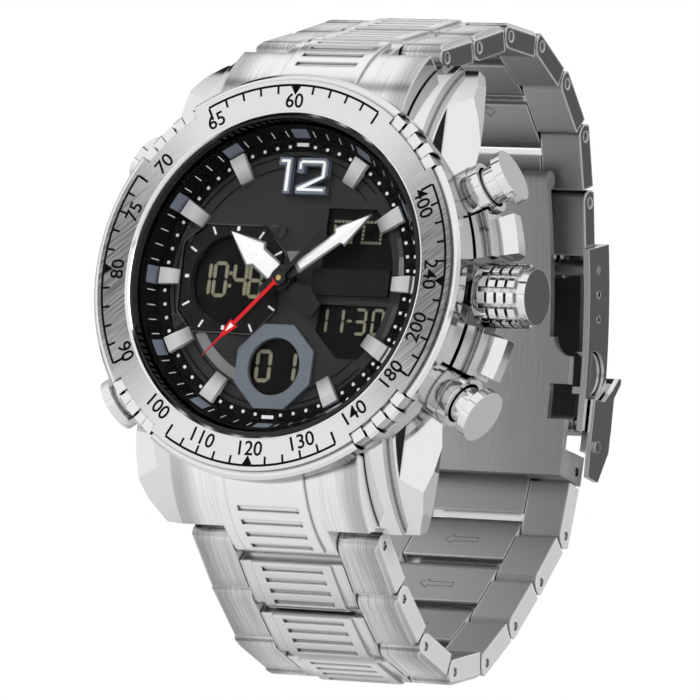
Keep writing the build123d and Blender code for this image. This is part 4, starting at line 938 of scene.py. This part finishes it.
# Painted highlight: a pale hairline along each edge of the plate.
lines = []
for line in (LEFT_PLATE, LEFT_TOP, LEFT_WING):
    lines += strip([(-7.0 + (x + 7.0) * 1.018, y * 1.022) for x, y in line], 0.07)
add_object("plate_painted_highlights", flat_mesh(lines, DIAL_TOP, OVERLAY_TOP + PRINT / 2), hairline_grey)
rings = []
for x, y in ((-13.78, 5.31), (-2.29, 5.73), (-14.03, -4.84)):
    circle = [(x + 0.62 * cos(radians(30 * n)), y + 0.62 * sin(radians(30 * n))) for n in range(13)]
    rings += strip(circle, 0.09)
add_object("screw_rings", flat_mesh(rings, DIAL_TOP, DIAL_TOP + PRINT), hairline_grey)
light = arc_quads(11.35, 12.55, 211, 246, 12)
light.append([(13.9, 3.2), (14.8, 3.2), (15.15, 1.1), (14.1, 1.1)])
light.append([(-0.47, 3.41), (0.18, 2.18), (1.23, 3.47)])
add_object("light_bands", flat_mesh(light, DIAL_TOP, DIAL_TOP + PRINT), band_grey)
steps = arc_quads(12.95, 13.12, 46, 318, 90) + arc_quads(14.2, 14.38, 46, 318, 90)
add_object("step_rings", flat_mesh(steps, DIAL_TOP, DIAL_TOP + PRINT), dial_black)
dark = [[(13.2, 5.35), (13.9, 3.2), (14.8, 3.2), (14.4, 5.35)],
        [(12.97, -6.13), (13.95, -2.35), (14.84, -2.35), (13.9, -5.6)]]
add_object("dark_bands", flat_mesh(dark, DIAL_TOP, DIAL_TOP + PRINT), shade_grey)

# %% [markdown]
# A display digit is made of seven bars with pointed ends. Each bar is a six-sided outline, and a table
# says which bars each figure lights.

# %% Display digits
SEGMENTS = {"0": "abcdef", "1": "bc", "3": "abcdg", "4": "bcfg", "8": "abcdefg", "-": "g"}


def bar(x0, y0, x1, y1, thick):
    """A bar with pointed ends between two points."""
    along = Vector((x1 - x0, y1 - y0)).normalized()
    across = Vector((-along.y, along.x)) * thick / 2
    cap = along * thick / 2
    a, b = Vector((x0, y0)), Vector((x1, y1))
    return [tuple(p) for p in (a, a + cap - across, b - cap - across, b, b - cap + across, a + cap + across)]


def digit(figure, x, y, width, tall, thick):
    """Bars of one figure, centred on a point."""
    l, r, t, b = x - width / 2, x + width / 2, y + tall / 2, y - tall / 2
    gap = thick * 0.12
    lines = {"a": (l, t, r, t), "b": (r, t, r, y), "c": (r, y, r, b), "d": (l, b, r, b),
             "e": (l, y, l, b), "f": (l, t, l, y), "g": (l, y, r, y)}
    made = []
    for key in SEGMENTS[figure]:
        x0, y0, x1, y1 = lines[key]
        way = Vector((x1 - x0, y1 - y0)).normalized() * gap
        made.append(bar(x0 + way.x, y0 + way.y, x1 - way.x, y1 - way.y, thick))
    return made


def square(x, y, half):
    return [(x - half, y - half), (x + half, y - half), (x + half, y + half), (x - half, y + half)]


bars = []
for figure, x in (("1", -10.85), ("0", -8.75), ("4", -6.2), ("8", -4.2)):
    bars += digit(figure, x, 0.0, 1.5, 3.7, 0.42)
bars += [square(-7.45, 0.75, 0.2), square(-7.45, -0.7, 0.2)]
for figure, x in (("1", 4.9), ("1", 6.95), ("3", 9.8), ("0", 12.0)):
    bars += digit(figure, x, -4.25, 1.25, 2.75, 0.34)
bars.append(bar(8.1, -4.2, 8.75, -4.2, 0.3))
for figure, x in (("0", -1.75), ("1", 1.4)):
    bars += digit(figure, x, -9.7, 1.6, 3.3, 0.44)
for start in (5.1, 8.75):
    for n in range(6):
        bars += [square(start + 0.45 * n, 7.1, 0.15), square(start + 0.45 * n, 4.75, 0.15)]
    for n in range(4):
        bars += [square(start, 5.2 + 0.45 * n, 0.15), square(start + 2.25, 5.2 + 0.45 * n, 0.15)]
add_object("display_digits", flat_mesh(bars, CELL_TOP, CELL_TOP + PRINT), lcd_light)

# %% [markdown]
# The hour and minute hands are black frames with a white, slightly roofed arrow on top. The arrow is
# drawn for a hand that points to 12 and is then turned. Its middle line is raised, which gives each half
# its own shade.


# %% Hand fills
def roofed(outline, spine, low, edge, ridge):
    """A plate whose right half is given by an outline from base to tip, with a raised middle line."""
    made = bmesh.new()
    sides = []
    for mirror in (1, -1):
        sides.append([made.verts.new((mirror * x, y, edge)) for x, y in outline])
    floor_sides = [[made.verts.new((v.co.x, v.co.y, low)) for v in side] for side in sides]
    top = [made.verts.new((0, y, ridge)) for y in spine]
    for side, under in zip(sides, floor_sides):
        made.faces.new([top[0]] + side + [top[1]])
        for number in range(len(side) - 1):
            made.faces.new((side[number], side[number + 1], under[number + 1], under[number]))
    made.faces.new(floor_sides[0] + floor_sides[1][::-1])
    bottom = [made.verts.new((0, spine[0], low))]
    made.faces.new((sides[0][0], floor_sides[0][0], bottom[0], floor_sides[1][0], sides[1][0], top[0]))
    made.faces.new((sides[0][-1], top[1], sides[1][-1], floor_sides[1][-1], floor_sides[0][-1]))
    bmesh.ops.recalc_face_normals(made, faces=made.faces[:])
    mesh = bpy.data.meshes.new("roofed")
    made.to_mesh(mesh)
    made.free()
    return mesh


def hand_fill(name, angle, outline, spine, low, body):
    mesh = roofed(outline, spine, low, low + 0.05, low + 0.13)
    mesh.transform(Matrix.Rotation(-radians(angle), 4, "Z"))
    return add_object(name, mesh, fill_white, body)


hand_fill("hour_hand_fill", HOUR_ANGLE, [(1.02, 1.4), (0.98, 4.2), (1.5, 4.7), (0.06, 8.75)], (1.4, 8.8),
          12.4, "hour")
hand_fill("minute_hand_fill", MINUTE_ANGLE, [(0.52, 2.65), (0.56, 8.2), (1.05, 8.5), (0.05, 12.6)],
          (2.65, 12.65), 12.8, "minute")

# %% [markdown]
# The applied 12 is a bright rim with a white centre. The solid gives the rim, and the fill is a smaller
# copy of the strokes on top of it.

# %% Numeral fill
NUMERAL_TOP = 12.15
fills = [
    [(-1.35, 10.15), (-0.95, 10.15), (-0.95, 13.75), (-2.1, 13.75), (-2.1, 13.45), (-1.35, 13.45)],
    [(0.25, 10.2), (3.6, 10.2), (3.6, 10.5), (1.1, 10.5), (3.6, 11.75), (3.6, 13.45), (3.35, 13.7),
     (0.55, 13.7), (0.25, 13.4), (0.25, 12.7), (0.55, 12.7), (0.55, 13.4), (3.25, 13.4), (3.25, 11.95),
     (0.25, 10.55)],
]
add_object("numeral_fill", flat_mesh(fills, NUMERAL_TOP, NUMERAL_TOP + 0.05), fill_white)

# %% [markdown]
# The red hand has a small pale arrowhead on it, and a brass pin closes the hub. Inside the bracelet four
# links carry a shallow outlined arrow. Each is drawn on its link's inner face, with the link's own
# directions as its axes.


# %% Hand tip, pin and arrows
tip = [[(-0.28, 7.55), (0.28, 7.55), (0.02, 8.6), (-0.02, 8.6)]]
tip_mesh = flat_mesh(tip, SECOND_TOP, SECOND_TOP + 0.03)
tip_mesh.transform(Matrix.Rotation(-radians(SECOND_ANGLE), 4, "Z"))
add_object("second_hand_tip", tip_mesh, fill_white, "second")
pin = [[(0.32 * cos(radians(30 * n)), 0.32 * sin(radians(30 * n))) for n in range(12)]]
add_object("hand_pin", flat_mesh(pin, PIN_TOP - 0.1, PIN_TOP), brass_paint, "second")
ARROW = [(-2.2, 0.0), (-1.2, 0.8), (-1.2, 0.35), (2.1, 0.35), (2.1, -0.35), (-1.2, -0.35), (-1.2, -0.8),
         (-2.2, 0.0)]


def inner_arrow(node, body, way, lift):
    """An outlined arrow on the inner face of a link, a little nearer to the clasp than its middle."""
    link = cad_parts[node].data
    centre, along, out, half = lie_of(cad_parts[node])
    tree = BVHTree.FromPolygons([v.co for v in link.vertices], [p.vertices for p in link.polygons])
    met, facing, number, reach = tree.ray_cast(centre + along * lift - out * 0.008, out)
    across = Vector((1, 0, 0))
    place = Matrix((across, facing.cross(across), facing)).transposed().to_4x4()
    mesh = flat_mesh(strip([(way * x, y) for x, y in ARROW], 0.1), -0.02, 0.01)
    mesh.transform(Matrix.Translation(met) @ place @ Matrix.Scale(MM, 4))
    mesh.name = node + "_arrow"
    mesh.materials.append(arrow_grey)
    piece = bpy.data.objects.new(node + "_arrow", mesh)
    bpy.context.scene.collection.objects.link(piece)
    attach(piece, body)
    print(node, "arrow at", [round(v * 1000, 2) for v in met])


for number in (5, 6, 7):
    inner_arrow(f"link_6_{number}", f"lower_link_{number}", 1, 0.0018)
inner_arrow("link_12_5", "upper_link_5", -1, 0.0)
